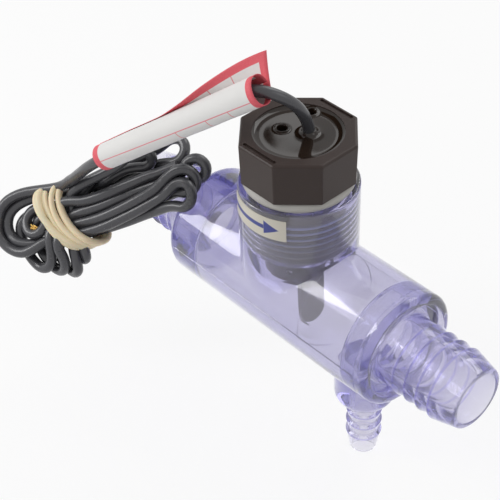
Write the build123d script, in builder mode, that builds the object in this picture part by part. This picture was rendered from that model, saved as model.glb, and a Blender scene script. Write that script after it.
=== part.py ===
"""Paddle flow switch for a hose line: a clear tee with hose barbs, a potted reed-switch plug
screwed into its riser, a magnet paddle hinged under the plug, and the switch's coiled lead.

Millimetres. The origin is where the run's axis crosses the riser's axis, +X is the way the
water flows and +Z points up the riser.
"""
import os
from math import atan, cos, degrees, hypot, radians, sin, sqrt, tan

from build123d import *

# Clear tee, run along X
body_r = 18.4
cavity_r = 15.3
closed_end_x = -41.5
closed_end_round = 3.0
end_wall = 9.8
open_end_x = 40.6
core_split_x = 16.0
socket_step = 0.3
passage_r = 8.1

# Riser, up the Z axis and a little slimmer than the run
riser_step = 0.4
rim_z = 38.2
rim_round = 0.8
mouth_r = 15.0
mouth_depth = 1.8
thread_bore_r = 14.35
thread_floor_z = 17.5
throat_r = 12.4

# Hose barbs of the run, measured from the riser's axis
neck_r = 11.2
crest_r = 11.7
valley_r = 10.4
crest_count = 4
crest_pitch = 4.4
first_crest = 49.0
crest_land = 0.4
crest_rise = 0.5
barb_tip = 70.6
tip_r = 9.7
tip_round = 0.7

# Drain barb under the outlet side, measured down from the run's axis
drain_x = 28.5
drain_boss_r = 9.6
drain_boss_side = 24.6
drain_boss_end = 30.8
drain_neck_r = 4.9
drain_crest_r = 5.6
drain_valley_r = 4.75
drain_crest_count = 3
drain_crest_pitch = 4.75
drain_first_crest = 35.5
drain_crest_land = 0.3
drain_crest_rise = 0.5
drain_tip = 52.5
drain_tip_r = 4.3
drain_tip_round = 0.5
drain_passage_r = 3.1

# Outlet cap, glued into the tee's open end
glue_gap = 0.05
cap_plug_length = 7.0
cap_plug_wall = 2.7
cap_web = 3.2
cap_rim = 4.2
cap_rim_width = 2.9
cap_rim_round = 2.0
cap_floor_depth = 2.2
cap_cove = 1.3

# Switch plug
ring_section_r = 1.85
groove_r = 13.0
shank_clearance = 0.15
shank_chamfer = 1.2
shank_gap = 0.8
barrel_r = 10.5
barrel_end_z = 8.6
barrel_round = 0.8
head_height = 13.6
head_flats = 33.3
head_draft = 1.4
head_corner_round = 0.7
head_edge_round = 0.8
well_r = 13.2
well_depth = 5.5
core_r = 9.5
core_floor_z = 26.0
mark_length = 12.8
mark_width = 1.0
mark_depth = 0.5
mark_inset = 1.6
mark_pit_r = 0.7

# Paddle and its pivot
pivot_x = 5.3
pivot_z = 12.6
swing = 30.0
blade_width = 9.4
blade_thickness = 1.7
blade_reach = 26.9
hub_r = 2.5
tail_width = 7.0
tail_thickness = 3.6
tail_reach = 8.0
pin_r = 0.8
pin_inset = 0.4
running_gap = 0.05
side_gap = 0.5
stop_gap = 0.15
magnet_r = 2.0
magnet_thickness = 2.0
magnet_height = 5.2
cover_thickness = 0.6
return_magnet_x = -6.8
return_magnet_r = 2.5
return_magnet_length = 5.0
return_magnet_floor_z = 15.7

# Reed switch and its wiring in the potted core
reed_x = -3.0
reed_z = 28.8
reed_glass_r = 1.15
reed_glass_wall = 0.3
reed_glass_length = 14.0
reed_seal = 1.6
reed_lead_r = 0.28
reed_lead_y = 8.0
reed_overlap = 1.6
reed_contact_gap = 0.2
blade_flat = 1.0
splice_r = 0.95
splice_length = 6.0
splice_bottom_z = 37.5
conductor_r = 0.65
conductor_spread = 0.8
jacket_end_z = 48.0

# Potting in the well
potting_drop = 1.1
meniscus = 0.75
meniscus_width = 3.0
vent_depth = 6.0
vent_lip = 0.6
vent_lip_height = 0.3
vents = [(-5.0, -1.6, 2.0), (-4.8, 9.6, 1.75)]

# Flow-arrow label on the riser's front
label_thickness = 0.2
label_half_angle = 34.5
label_height = 7.3
label_drop = 1.4

# Lead, tag and hank
cable_r = 1.75
exit_x, exit_y = 1.8, 2.6
route = [
    (1.8, 2.6, jacket_end_z),
    (1.8, 2.6, 58.0),
    (1.4, -3.6, 68.6),
    (-7.0, -13.2, 73.6),
    (-20.5, -17.6, 59.6),
    (-38.5, -24.8, 44.6),
    (-56.2, -31.8, 31.4),
    (-70.6, -31.6, 17.0),
]
tag_start = (-5.2, -11.2, 72.2)
tag_end = (-52.6, -30.8, 34.4)
tag_roll_r = 4.5
tag_thickness = 0.3
flap_rise = 12.5
flap_share = 0.55

hank_origin = (-44.1, -1.1, 22.4)
hank_along = (-43.0, -43.0, -25.5)
hank_normal = (0.312, -0.696, 0.647)
hank_half = 4.6
hank_round = 3.2
hank_clearance = 0.45
hose_room = 1.6
band_at = (46.5, 4.6)
band_turn = -30.0
band_width = 10.0
band_thickness = 1.3
wire_r = 0.8
wire_length = 6.0

# Sizes worked out from those above
riser_r = body_r - riser_step
socket_r = cavity_r + socket_step
cap_plug_r = socket_r - glue_gap
cap_bore_r = cap_plug_r - cap_plug_wall
cap_front_x = open_end_x + cap_rim
cap_floor_x = cap_front_x - cap_floor_depth
shank_r = thread_bore_r - shank_clearance
shank_end_z = thread_floor_z + shank_gap
head_z = rim_z + 2 * ring_section_r
head_top_z = head_z + head_height
well_floor_z = head_top_z - well_depth
potting_z = head_top_z - potting_drop
reed_bore_r = reed_glass_r - reed_glass_wall
reed_bore_length = reed_glass_length - 2 * reed_seal
slot_half = blade_width / 2 + side_gap
slot_stop_x = pivot_x + tail_thickness / 2 + stop_gap
tail_corner_angle = degrees(atan(tail_thickness / 2 / tail_reach))
tail_corner_r = hypot(tail_thickness / 2, tail_reach)
slot_back_x = pivot_x - tail_corner_r * sin(radians(swing + tail_corner_angle)) - side_gap
slot_roof_z = pivot_z + tail_corner_r + side_gap
slot_open_z = pivot_z + hub_r + side_gap


def barb_outline(root, neck, first, pitch, count, crest, valley, rise, land, tip, tip_radius):
    """Corners of a hose barb, as (distance, radius) from its root out to its tip."""
    corners = [(root, neck)]
    floor = neck
    for number in range(count):
        at = first + number * pitch
        corners += [(at - rise, floor), (at, crest), (at + land, crest)]
        floor = valley
    return corners + [(tip, tip_radius)]


def run_barb(root):
    """Corners of one of the run's two like barbs."""
    return barb_outline(root, neck_r, first_crest, crest_pitch, crest_count, crest_r, valley_r,
                        crest_rise, crest_land, barb_tip, tip_r)


def corner(sketch, x, y):
    """The sketch's vertex nearest to a point."""
    return sketch.vertices().sort_by_distance((x, y))[0]


# Clear tee with its closed end, inlet barb, riser and drain barb in one moulding
with BuildPart() as tee_body:
    inlet = [(-x, r) for x, r in run_barb(-closed_end_x)]
    with BuildSketch(Plane.XY) as run_outline:
        with BuildLine():
            Polyline((open_end_x, 0), (open_end_x, body_r), (closed_end_x, body_r), *inlet,
                     (-barb_tip, 0), close=True)
        make_face()
        fillet(corner(run_outline, closed_end_x, body_r), closed_end_round)
        fillet(corner(run_outline, closed_end_x, neck_r), cap_cove)
        fillet(corner(run_outline, -barb_tip, tip_r), tip_round)
    revolve(axis=Axis.X)
    with BuildSketch(Plane.XY):
        Circle(riser_r)
    extrude(amount=rim_z)
    fillet(tee_body.edges().group_by(Axis.Z)[-1], rim_round)
    drain = barb_outline(drain_boss_end, drain_neck_r, drain_first_crest, drain_crest_pitch,
                         drain_crest_count, drain_crest_r, drain_valley_r, drain_crest_rise,
                         drain_crest_land, drain_tip, drain_tip_r)
    with BuildSketch(Plane.XZ) as drain_outline:
        with BuildLine():
            Polyline((drain_x, 0), (drain_x + drain_boss_r, 0),
                     (drain_x + drain_boss_r, -drain_boss_side),
                     (drain_x + drain_boss_r, -drain_boss_end),
                     *[(drain_x + r, -z) for z, r in drain], (drain_x, -drain_tip), close=True)
        make_face()
        fillet(corner(drain_outline, drain_x + drain_boss_r, -drain_boss_end),
               0.9 * min(drain_boss_r - drain_neck_r, drain_boss_end - drain_boss_side))
        fillet(corner(drain_outline, drain_x + drain_tip_r, -drain_tip), drain_tip_round)
    revolve(axis=Axis((drain_x, 0, 0), (0, 0, 1)))
    with BuildSketch(Plane.XY) as cavity_outline:
        with BuildLine():
            Polyline((open_end_x, 0), (open_end_x, socket_r), (core_split_x, socket_r),
                     (core_split_x, cavity_r), (closed_end_x + end_wall, cavity_r),
                     (closed_end_x + end_wall, passage_r), (-barb_tip, passage_r),
                     (-barb_tip, 0), close=True)
        make_face()
        fillet(corner(cavity_outline, closed_end_x + end_wall, cavity_r), closed_end_round)
    revolve(axis=Axis.X, mode=Mode.SUBTRACT)
    with BuildSketch(Plane.XZ):
        with BuildLine():
            Polyline((0, 0), (throat_r, 0), (throat_r, thread_floor_z),
                     (thread_bore_r, thread_floor_z),
                     (thread_bore_r, rim_z - mouth_depth - mouth_r + thread_bore_r),
                     (mouth_r, rim_z - mouth_depth), (mouth_r, rim_z), (0, rim_z), close=True)
        make_face()
    revolve(axis=Axis.Z, mode=Mode.SUBTRACT)
    with BuildSketch(Plane.XY.offset(-drain_tip)):
        with Locations((drain_x, 0)):
            Circle(drain_passage_r)
    extrude(amount=drain_tip, mode=Mode.SUBTRACT)

# Outlet cap: a plug for the socket, a rimmed flange and the outlet barb
with BuildPart() as outlet_cap:
    with BuildSketch(Plane.XY) as cap_outline:
        with BuildLine():
            Polyline((open_end_x - cap_plug_length, cap_bore_r),
                     (open_end_x - cap_plug_length, cap_plug_r), (open_end_x, cap_plug_r),
                     (open_end_x, body_r), (cap_front_x, body_r),
                     (cap_front_x, body_r - cap_rim_width), (cap_floor_x, body_r - cap_rim_width),
                     *run_barb(cap_floor_x), (barb_tip, passage_r),
                     (cap_floor_x - cap_web, passage_r), (cap_floor_x - cap_web, cap_bore_r),
                     close=True)
        make_face()
        fillet(corner(cap_outline, cap_front_x, body_r), cap_rim_round)
        fillet(corner(cap_outline, cap_floor_x, neck_r), cap_cove)
        fillet(corner(cap_outline, barb_tip, tip_r), tip_round)
    revolve(axis=Axis.X)

# Plug: octagon head with a potting well, sealing groove, shank, barrel and the paddle's slot
with BuildPart() as switch_plug:
    with BuildSketch(Plane.XY.offset(head_top_z)):
        RegularPolygon(head_flats / 2, 8, major_radius=False, rotation=22.5)
    extrude(amount=-head_height, taper=head_draft)
    fillet(switch_plug.edges().filter_by(lambda e: abs(e.tangent_at(0.5).Z) > 0.9),
           head_corner_round)
    fillet(switch_plug.edges().group_by(Axis.Z)[-1], head_edge_round)
    with BuildSketch(Plane.XZ):
        with BuildLine():
            Polyline((0, head_z + 1), (groove_r, head_z + 1),
                     (groove_r, rim_z - shank_chamfer),
                     (shank_r, rim_z - shank_chamfer - shank_r + groove_r),
                     (shank_r, shank_end_z), (barrel_r, shank_end_z), (barrel_r, barrel_end_z),
                     (0, barrel_end_z), close=True)
        make_face()
    revolve(axis=Axis.Z)
    fillet(switch_plug.edges().group_by(Axis.Z)[0], barrel_round)
    with BuildSketch(Plane.XZ):
        with BuildLine():
            Polyline((0, head_top_z), (well_r, head_top_z), (well_r, well_floor_z),
                     (core_r, well_floor_z), (core_r, core_floor_z), (0, core_floor_z), close=True)
        make_face()
    revolve(axis=Axis.Z, mode=Mode.SUBTRACT)
    with BuildSketch(Plane.XZ.offset(-slot_half)):
        with BuildLine():
            Polyline((slot_back_x, barrel_end_z), (slot_back_x, slot_roof_z),
                     (slot_stop_x, slot_roof_z), (slot_stop_x, slot_open_z),
                     (barrel_r, slot_open_z), (barrel_r, barrel_end_z), close=True)
        make_face()
    extrude(amount=2 * slot_half, mode=Mode.SUBTRACT)
    with BuildSketch(Plane.XZ.offset(-barrel_r)):
        with Locations((pivot_x, pivot_z)):
            Circle(pin_r)
    extrude(amount=2 * barrel_r, mode=Mode.SUBTRACT)
    with BuildSketch(Plane.XY.offset(return_magnet_floor_z)):
        with Locations((return_magnet_x, 0)):
            Circle(return_magnet_r)
    extrude(amount=core_floor_z - return_magnet_floor_z, mode=Mode.SUBTRACT)
    with BuildSketch(Plane.XY.offset(head_top_z)):
        for side in (-1, 1):
            mark_y = side * (head_flats / 2 - mark_inset)
            with Locations((0, mark_y)):
                SlotOverall(mark_length, mark_width)
            with Locations((mark_length / 2 - mark_pit_r, mark_y)):
                Circle(mark_pit_r)
    extrude(amount=-mark_depth, mode=Mode.SUBTRACT)

# Seal ring in the groove, between the riser's rim and the head
with BuildPart() as seal_ring:
    with Locations((0, 0, rim_z + ring_section_r)):
        Torus(groove_r + ring_section_r, ring_section_r)


def conductor_path(side):
    """Corners of one conductor, from the end of the cable's jacket down into its splice."""
    return [
        (exit_x, exit_y + side * conductor_spread, jacket_end_z),
        (exit_x, exit_y + side * conductor_spread, jacket_end_z - 2),
        (reed_x, side * reed_lead_y, splice_bottom_z + splice_length + 1.5),
        (reed_x, side * reed_lead_y, splice_bottom_z + splice_length / 2),
    ]


# Two conductors of the cable, bared and spliced to the reed switch's leads
conductors = []
for side in (-1, 1):
    with BuildPart() as conductor:
        with BuildLine():
            wire = FilletPolyline(*conductor_path(side), radius=1.0)
        with BuildSketch(Plane(origin=wire @ 0, z_dir=wire % 0)):
            Circle(conductor_r)
        sweep()
    conductors.append(conductor)

# Reed blades: a round lead up to the splice and a flat contact end inside the glass
reed_blades = []
for side in (-1, 1):
    with BuildPart() as reed_blade:
        seal_y = side * reed_bore_length / 2
        with BuildLine():
            lead = FilletPolyline((reed_x, seal_y, reed_z), (reed_x, side * reed_lead_y, reed_z),
                                  (reed_x, side * reed_lead_y,
                                   splice_bottom_z + splice_length / 2),
                                  radius=0.6)
        with BuildSketch(Plane(origin=lead @ 0, z_dir=lead % 0)):
            Circle(reed_lead_r)
        sweep()
        flat_end = -side * reed_overlap / 2
        flat_z = reed_z + side * reed_contact_gap
        with Locations((reed_x, (seal_y + flat_end) / 2, flat_z)):
            Box(blade_flat, abs(seal_y - flat_end), reed_contact_gap)
    reed_blades.append(reed_blade)

# Glass envelope of the reed switch, sealed round both leads
with BuildPart() as reed_glass:
    with BuildSketch(Plane.XY.offset(reed_z)) as glass_outline:
        with Locations((reed_x, 0)):
            Rectangle(reed_glass_r, reed_glass_length / 2, align=(Align.MIN, Align.MIN))
        fillet(corner(glass_outline, reed_x + reed_glass_r, reed_glass_length / 2),
               0.9 * reed_glass_r)
    revolve(axis=Axis((reed_x, 0, reed_z), (0, 1, 0)))
    mirror(about=Plane.XZ)
    with Locations((reed_x, 0, reed_z)):
        Cylinder(reed_bore_r, reed_bore_length, rotation=(90, 0, 0), mode=Mode.SUBTRACT)
    with BuildSketch(Plane.XZ.offset(-reed_glass_length / 2)):
        with Locations((reed_x, reed_z)):
            Circle(reed_lead_r)
    extrude(amount=reed_glass_length, mode=Mode.SUBTRACT)

# Crimped splices between the reed leads and the conductors
splices = []
for side in (-1, 1):
    with BuildPart() as splice:
        with BuildSketch(Plane.XY.offset(splice_bottom_z)):
            with Locations((reed_x, side * reed_lead_y)):
                Circle(splice_r)
        extrude(amount=splice_length)
        chamfer(splice.edges(), 0.15)
        add(conductors[side > 0].part, mode=Mode.SUBTRACT)
        add(reed_blades[side > 0].part, mode=Mode.SUBTRACT)
    splices.append(splice)

# Magnet that pushes the paddle's tail back when the flow stops
with BuildPart() as return_magnet:
    with BuildSketch(Plane.XY.offset(return_magnet_floor_z)):
        with Locations((return_magnet_x, 0)):
            Circle(return_magnet_r)
    extrude(amount=return_magnet_length)
    chamfer(return_magnet.edges(), 0.3)

# Lead from the potting through the tag to the hank
lead_diameter = 2 * cable_r
corners = [Vector(*point) for point in route]
runs = [b - a for a, b in zip(corners, corners[1:])]
bend_radii = []
for before, after in zip(runs, runs[1:]):
    half_turn = radians(before.get_angle(after)) / 2
    bend_radii.append(0.45 * min(before.length, after.length) / tan(half_turn))
print("lead bend radii", [round(radius, 1) for radius in bend_radii])
print("lead run lengths", [round(run.length, 1) for run in runs])

with BuildPart() as cable_lead:
    with BuildLine():
        lead_path = FilletPolyline(*route, radius=bend_radii)
    with BuildSketch(Plane(origin=lead_path @ 0, z_dir=lead_path % 0)):
        Circle(cable_r)
    sweep()

# Potting: cast round the wiring, with a meniscus at the wall and two lipped blind holes
with BuildPart() as potting:
    with BuildSketch(Plane.XZ):
        with BuildLine():
            floor = Line((0, core_floor_z), (core_r, core_floor_z))
            side_wall = Polyline(floor @ 1, (core_r, well_floor_z), (well_r, well_floor_z),
                                 (well_r, potting_z + meniscus))
            climb = Spline(side_wall @ 1, (well_r - meniscus_width, potting_z),
                           tangents=[(-0.35, -1), (-1, 0)])
            Polyline(climb @ 1, (0, potting_z), floor @ 0)
        make_face()
    revolve(axis=Axis.Z)
    with BuildSketch(Plane.XY.offset(return_magnet_floor_z + return_magnet_length)):
        with Locations((return_magnet_x, 0)):
            Circle(return_magnet_r)
    extrude(amount=core_floor_z - return_magnet_floor_z - return_magnet_length)
    for vent_x, vent_y, vent_r in vents:
        with Locations((vent_x, vent_y, potting_z)):
            Cylinder(vent_r + vent_lip, 2 * vent_lip_height)
            Cylinder(vent_r, vent_depth, align=(Align.CENTER, Align.CENTER, Align.MAX),
                     mode=Mode.SUBTRACT)
            Cylinder(vent_r, vent_lip_height, align=(Align.CENTER, Align.CENTER, Align.MIN),
                     mode=Mode.SUBTRACT)
    for held in [reed_glass, cable_lead, *conductors, *splices, *reed_blades]:
        add(held.part, mode=Mode.SUBTRACT)
    with Locations((reed_x, 0, reed_z)):
        Cylinder(reed_bore_r, reed_bore_length, rotation=(90, 0, 0), mode=Mode.SUBTRACT)

# Flow-arrow label, bent round the riser
with BuildPart() as arrow_label:
    with BuildSketch(Plane.XY.offset(rim_z - label_drop - label_height)):
        with BuildLine():
            start = -90 - label_half_angle
            back = CenterArc((0, 0), riser_r, start, 2 * label_half_angle)
            front = CenterArc((0, 0), riser_r + label_thickness, start, 2 * label_half_angle)
            Line(back @ 0, front @ 0)
            Line(back @ 1, front @ 1)
        make_face()
    extrude(amount=label_height)

# Paddle: a blade in the water, a hub on the pin and a magnet tail above it
with BuildPart() as paddle:
    with BuildSketch(Plane.YZ.offset(pivot_x - blade_thickness / 2)):
        with BuildLine():
            half = blade_width / 2
            low = pivot_z - blade_reach
            Polyline((-half, low + half), (-half, pivot_z), (half, pivot_z), (half, low + half))
            ThreePointArc((half, low + half), (0, low), (-half, low + half))
        make_face()
    extrude(amount=blade_thickness)
    with BuildSketch(Plane.XZ.offset(-blade_width / 2)):
        with Locations((pivot_x, pivot_z)):
            Circle(hub_r)
    extrude(amount=blade_width)
    with BuildSketch(Plane.XZ.offset(-tail_width / 2)):
        with Locations((pivot_x, pivot_z)):
            Rectangle(tail_thickness, tail_reach, align=(Align.CENTER, Align.MIN))
    extrude(amount=tail_width)
    fillet(paddle.edges().group_by(Axis.Z)[-1].filter_by(Axis.Y), 0.4)
    with BuildSketch(Plane.XZ.offset(-blade_width / 2)):
        with Locations((pivot_x, pivot_z)):
            Circle(pin_r + running_gap)
    extrude(amount=blade_width, mode=Mode.SUBTRACT)
    with BuildSketch(Plane.YZ.offset(pivot_x - tail_thickness / 2)):
        with Locations((0, pivot_z + magnet_height)):
            Circle(magnet_r + glue_gap)
    extrude(amount=magnet_thickness + cover_thickness + glue_gap, mode=Mode.SUBTRACT)

# Paddle magnet in the tail's pocket, and the disc that closes the pocket
with BuildPart() as paddle_magnet:
    with BuildSketch(Plane.YZ.offset(pivot_x - tail_thickness / 2 + cover_thickness)):
        with Locations((0, pivot_z + magnet_height)):
            Circle(magnet_r)
    extrude(amount=magnet_thickness)

with BuildPart() as magnet_cover:
    with BuildSketch(Plane.YZ.offset(pivot_x - tail_thickness / 2)):
        with Locations((0, pivot_z + magnet_height)):
            Circle(magnet_r + glue_gap / 2)
    extrude(amount=cover_thickness)

# Pivot pin, pressed into both cheeks of the plug's slot
with BuildPart() as pivot_pin:
    pin_half = sqrt(barrel_r ** 2 - pivot_x ** 2) - pin_inset
    with BuildSketch(Plane.XZ.offset(-pin_half)):
        with Locations((pivot_x, pivot_z)):
            Circle(pin_r)
    extrude(amount=2 * pin_half)
    chamfer(pivot_pin.edges(), 0.15)

# Paper tag: rolled round the lead, with one corner of the sheet standing free
tag_axis = Vector(*tag_end) - Vector(*tag_start)
tag_plane = Plane(origin=tag_start, z_dir=tag_axis,
                  x_dir=tag_axis.cross(Vector(0, 0, 1)).normalized())
with BuildPart() as paper_tag:
    with BuildSketch(tag_plane):
        Circle(tag_roll_r)
        Circle(tag_roll_r - tag_thickness, mode=Mode.SUBTRACT)
    extrude(amount=tag_axis.length)
    flap_plane = Plane(origin=tag_start, x_dir=tag_axis, z_dir=tag_plane.x_dir)
    with BuildSketch(flap_plane.offset(tag_roll_r - tag_thickness)) as flap:
        with BuildLine():
            Polyline((0, 0), (0, flap_rise), (flap_share * tag_axis.length, 0), close=True)
        make_face()
    extrude(amount=tag_thickness)

# Hank: the outer shape of the coiled cable, clear of the tee and of the inlet barb's hose
hank_plane = Plane(origin=hank_origin, x_dir=hank_along, z_dir=hank_normal)
hank_corners = [(-3, 3), (3, -5), (16, -7.5), (56, -8.5), (66, -9), (74, -2), (74.5, 5),
                (70, 12), (58, 20.5), (50, 22), (43, 17.5), (28, 16), (6, 11)]
with BuildPart() as cable_hank:
    with BuildSketch(hank_plane.offset(-hank_half)) as hank_outline:
        with BuildLine():
            Polyline(*hank_corners, close=True)
        make_face()
        fillet(hank_outline.vertices(), 2.5)
    extrude(amount=2 * hank_half)
    hank_edges = cable_hank.edges().filter_by(
        lambda e: abs(e.tangent_at(0.5).dot(hank_plane.z_dir)) < 0.1)
    fillet(hank_edges, 2.2)
    with Locations(Plane.YZ.offset(closed_end_x - hank_clearance)):
        Cylinder(body_r + hank_clearance, 30, align=(Align.CENTER, Align.CENTER, Align.MIN),
                 mode=Mode.SUBTRACT)
    with Locations(Plane.YZ.offset(-barb_tip - 60)):
        Cylinder(crest_r + hose_room, 140, align=(Align.CENTER, Align.CENTER, Align.MIN),
                 mode=Mode.SUBTRACT)

# Rubber band, hugging the hank
with BuildPart() as rubber_band:
    with BuildSketch(hank_plane.offset(-hank_half - band_thickness)):
        with BuildLine():
            Polyline(*hank_corners, close=True)
        make_face()
        offset(amount=band_thickness)
    extrude(amount=2 * (hank_half + band_thickness))
    with Locations(hank_plane):
        with Locations(Location((*band_at, 0), (0, 0, band_turn))):
            Box(band_width, 80, 40, mode=Mode.INTERSECT)
    add(cable_hank.part, mode=Mode.SUBTRACT)

pieces = {
    "tee_body": tee_body,
    "outlet_cap": outlet_cap,
    "switch_plug": switch_plug,
    "seal_ring": seal_ring,
    "potting": potting,
    "reed_glass": reed_glass,
    "reed_blade_front": reed_blades[0],
    "reed_blade_back": reed_blades[1],
    "splice_front": splices[0],
    "splice_back": splices[1],
    "conductor_front": conductors[0],
    "conductor_back": conductors[1],
    "return_magnet": return_magnet,
    "pivot_pin": pivot_pin,
    "paddle": paddle,
    "paddle_magnet": paddle_magnet,
    "magnet_cover": magnet_cover,
    "arrow_label": arrow_label,
    "cable_lead": cable_lead,
    "paper_tag": paper_tag,
    "cable_hank": cable_hank,
    "rubber_band": rubber_band,
}

os.makedirs("parts", exist_ok=True)
for label, piece in pieces.items():
    piece.part.label = label
    export_step(piece.part, f"parts/{label}.step")
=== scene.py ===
"""Looks of a paddle flow switch: a clear tee with hose barbs, its potted reed-switch plug, the
magnet paddle in the run, and the switch's banded lead with a rolled paper tag.

Sizes are written in millimetres, as on a workshop drawing, and turned into metres where a mesh
is finished. +X is the way the water flows and +Z points up the riser.
"""
from __future__ import annotations

import logging
import math
from dataclasses import dataclass, field
from enum import Enum
from typing import Callable, Sequence

import bmesh
import bpy
import numpy as np
from mathutils import Matrix, Vector, noise


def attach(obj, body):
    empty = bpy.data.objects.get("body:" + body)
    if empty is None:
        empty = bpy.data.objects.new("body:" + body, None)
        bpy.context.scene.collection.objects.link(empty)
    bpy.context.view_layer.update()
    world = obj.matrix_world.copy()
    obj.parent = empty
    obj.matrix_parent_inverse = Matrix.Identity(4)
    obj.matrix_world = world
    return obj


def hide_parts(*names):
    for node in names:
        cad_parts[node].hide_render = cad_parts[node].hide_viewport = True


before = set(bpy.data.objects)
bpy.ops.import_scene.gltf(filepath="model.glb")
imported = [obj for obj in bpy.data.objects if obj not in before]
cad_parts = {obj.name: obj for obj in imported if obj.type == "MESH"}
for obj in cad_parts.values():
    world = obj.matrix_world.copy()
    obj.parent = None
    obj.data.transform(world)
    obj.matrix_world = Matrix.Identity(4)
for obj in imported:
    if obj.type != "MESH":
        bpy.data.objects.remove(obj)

LOG = logging.getLogger("flow_switch")
MM = 0.001

Point = tuple[float, float, float]
Pair = tuple[float, float]
Colour = tuple[float, float, float]
WHITE: Colour = (1.0, 1.0, 1.0)


class Ride(Enum):
    """The CAD bodies that a piece can move with."""

    SWITCH = "switch_body"
    PADDLE = "paddle"


class Spin(Enum):
    """The axes that turned pieces are spun about."""

    RUN = (1.0, 0.0, 0.0)
    RISER = (0.0, 0.0, 1.0)


class Join(Enum):
    """How one solid is joined with another."""

    UNION = "UNION"
    CUT = "DIFFERENCE"


def rounded(points: Sequence[Pair], radii: dict[int, float], steps: int = 7) -> list[Pair]:
    """Rounds chosen corners of a profile.

    Args:
        points: Corners of the profile, as (place along the axis, radius).
        radii: Rounding radius for each corner's number.
        steps: Straight pieces in each rounding.

    Returns:
        The profile with its roundings.
    """
    made: list[Pair] = []
    for number, point in enumerate(points):
        radius = radii.get(number)
        if radius is None:
            made.append(point)
            continue
        here = Vector(point)
        before = (Vector(points[number - 1]) - here).normalized()
        after = (Vector(points[(number + 1) % len(points)]) - here).normalized()
        half = before.angle(after) / 2
        centre = here + (before + after).normalized() * radius / math.sin(half)
        start = here + before * radius / math.tan(half) - centre
        end = here + after * radius / math.tan(half) - centre
        turn = start.angle_signed(end)
        for step in range(steps + 1):
            spoke = start.copy()
            spoke.rotate(Matrix.Rotation(-turn * step / steps, 2))
            made.append((centre.x + spoke.x, centre.y + spoke.y))
    return made


def turned(profile: Sequence[Pair], axis: Spin, segments: int, centre: Point = (0, 0, 0),
           ring: bool = False) -> bmesh.types.BMesh:
    """Spins a profile into a closed solid.

    Args:
        profile: Points as (place along the axis, radius), in millimetres.
        axis: Axis of the turning.
        segments: Steps of the full turn.
        centre: A point on the axis.
        ring: True where the profile is a closed loop that stays off the axis.

    Returns:
        The solid, in millimetres.
    """
    bm = bmesh.new()
    side = Vector((0, 0, 1)) if axis is Spin.RUN else Vector((1, 0, 0))
    along = Vector(axis.value)
    verts = [bm.verts.new(Vector(centre) + along * a + side * r) for a, r in profile]
    edges = [bm.edges.new(pair) for pair in zip(verts, verts[1:])]
    if ring:
        edges.append(bm.edges.new((verts[-1], verts[0])))
    bmesh.ops.spin(bm, geom=verts + edges, cent=centre, axis=along, dvec=(0, 0, 0),
                   angle=math.tau, steps=segments, use_merge=True)
    bmesh.ops.remove_doubles(bm, verts=bm.verts[:], dist=1e-4)
    bmesh.ops.dissolve_degenerate(bm, dist=1e-4, edges=bm.edges[:])
    bmesh.ops.recalc_face_normals(bm, faces=bm.faces[:])
    return bm


def as_object(name: str, bm: bmesh.types.BMesh) -> bpy.types.Object:
    """Puts a bmesh into a new object and frees it."""
    mesh = bpy.data.meshes.new(name)
    bm.to_mesh(mesh)
    bm.free()
    made = bpy.data.objects.new(name, mesh)
    bpy.context.scene.collection.objects.link(made)
    return made


def joined(target: bpy.types.Object, tool: bpy.types.Object, how: Join) -> bpy.types.Object:
    """Joins or cuts one solid with another, which is then removed.

    Args:
        target: The solid that is kept.
        tool: The solid that it is joined with or cut by.
        how: Union or cut.

    Returns:
        The target.
    """
    modifier = target.modifiers.new("join", "BOOLEAN")
    modifier.operation = how.value
    modifier.solver = "EXACT"
    modifier.object = tool
    mesh = bpy.data.meshes.new_from_object(
        target.evaluated_get(bpy.context.evaluated_depsgraph_get()))
    target.modifiers.clear()
    old = target.data
    target.data = mesh
    bpy.data.meshes.remove(old)
    bpy.data.objects.remove(tool)
    return target


def tube(name: str, points: Sequence[Vector], radius: float, roundness: int,
         resolution: int) -> bpy.types.Object:
    """Lays a round tube along one smooth line.

    Args:
        name: Name of the piece.
        points: Control points of the line, in millimetres.
        radius: The tube's radius, in millimetres.
        roundness: Bevel resolution of the tube's section.
        resolution: Steps from one control point to the next.

    Returns:
        The tube, a curve of one spline.
    """
    curve = bpy.data.curves.new(name, "CURVE")
    curve.dimensions = "3D"
    curve.bevel_depth = radius * MM
    curve.bevel_resolution = roundness
    curve.resolution_u = resolution
    spline = curve.splines.new("NURBS")
    spline.points.add(len(points) - 1)
    for held, point in zip(spline.points, points):
        held.co = (*(point * MM), 1.0)
    spline.order_u = 3
    made = bpy.data.objects.new(name, curve)
    bpy.context.scene.collection.objects.link(made)
    return made


def finished(made: bpy.types.Object, sharp: float = 28.0) -> bpy.types.Object:
    """Turns a piece into metres and shades it smooth up to an angle.

    Args:
        made: The piece, in millimetres.
        sharp: Edges that bend by more than this many degrees stay crisp.

    Returns:
        The same piece.
    """
    made.data.transform(Matrix.Scale(MM, 4))
    for polygon in made.data.polygons:
        polygon.use_smooth = True
    made.data.set_sharp_from_angle(angle=math.radians(sharp))
    return made


def seat(piece: bpy.types.Object, ride: Ride, slot: str, *nodes: str) -> bpy.types.Object:
    """Gives a piece its body and hides the CAD nodes that it stands for."""
    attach(piece, ride.value)
    if nodes:
        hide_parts(*nodes)
    LOG.info("%s rides on %s and stands for %s", piece.name, ride.value, nodes or "no node")
    return piece


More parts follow.
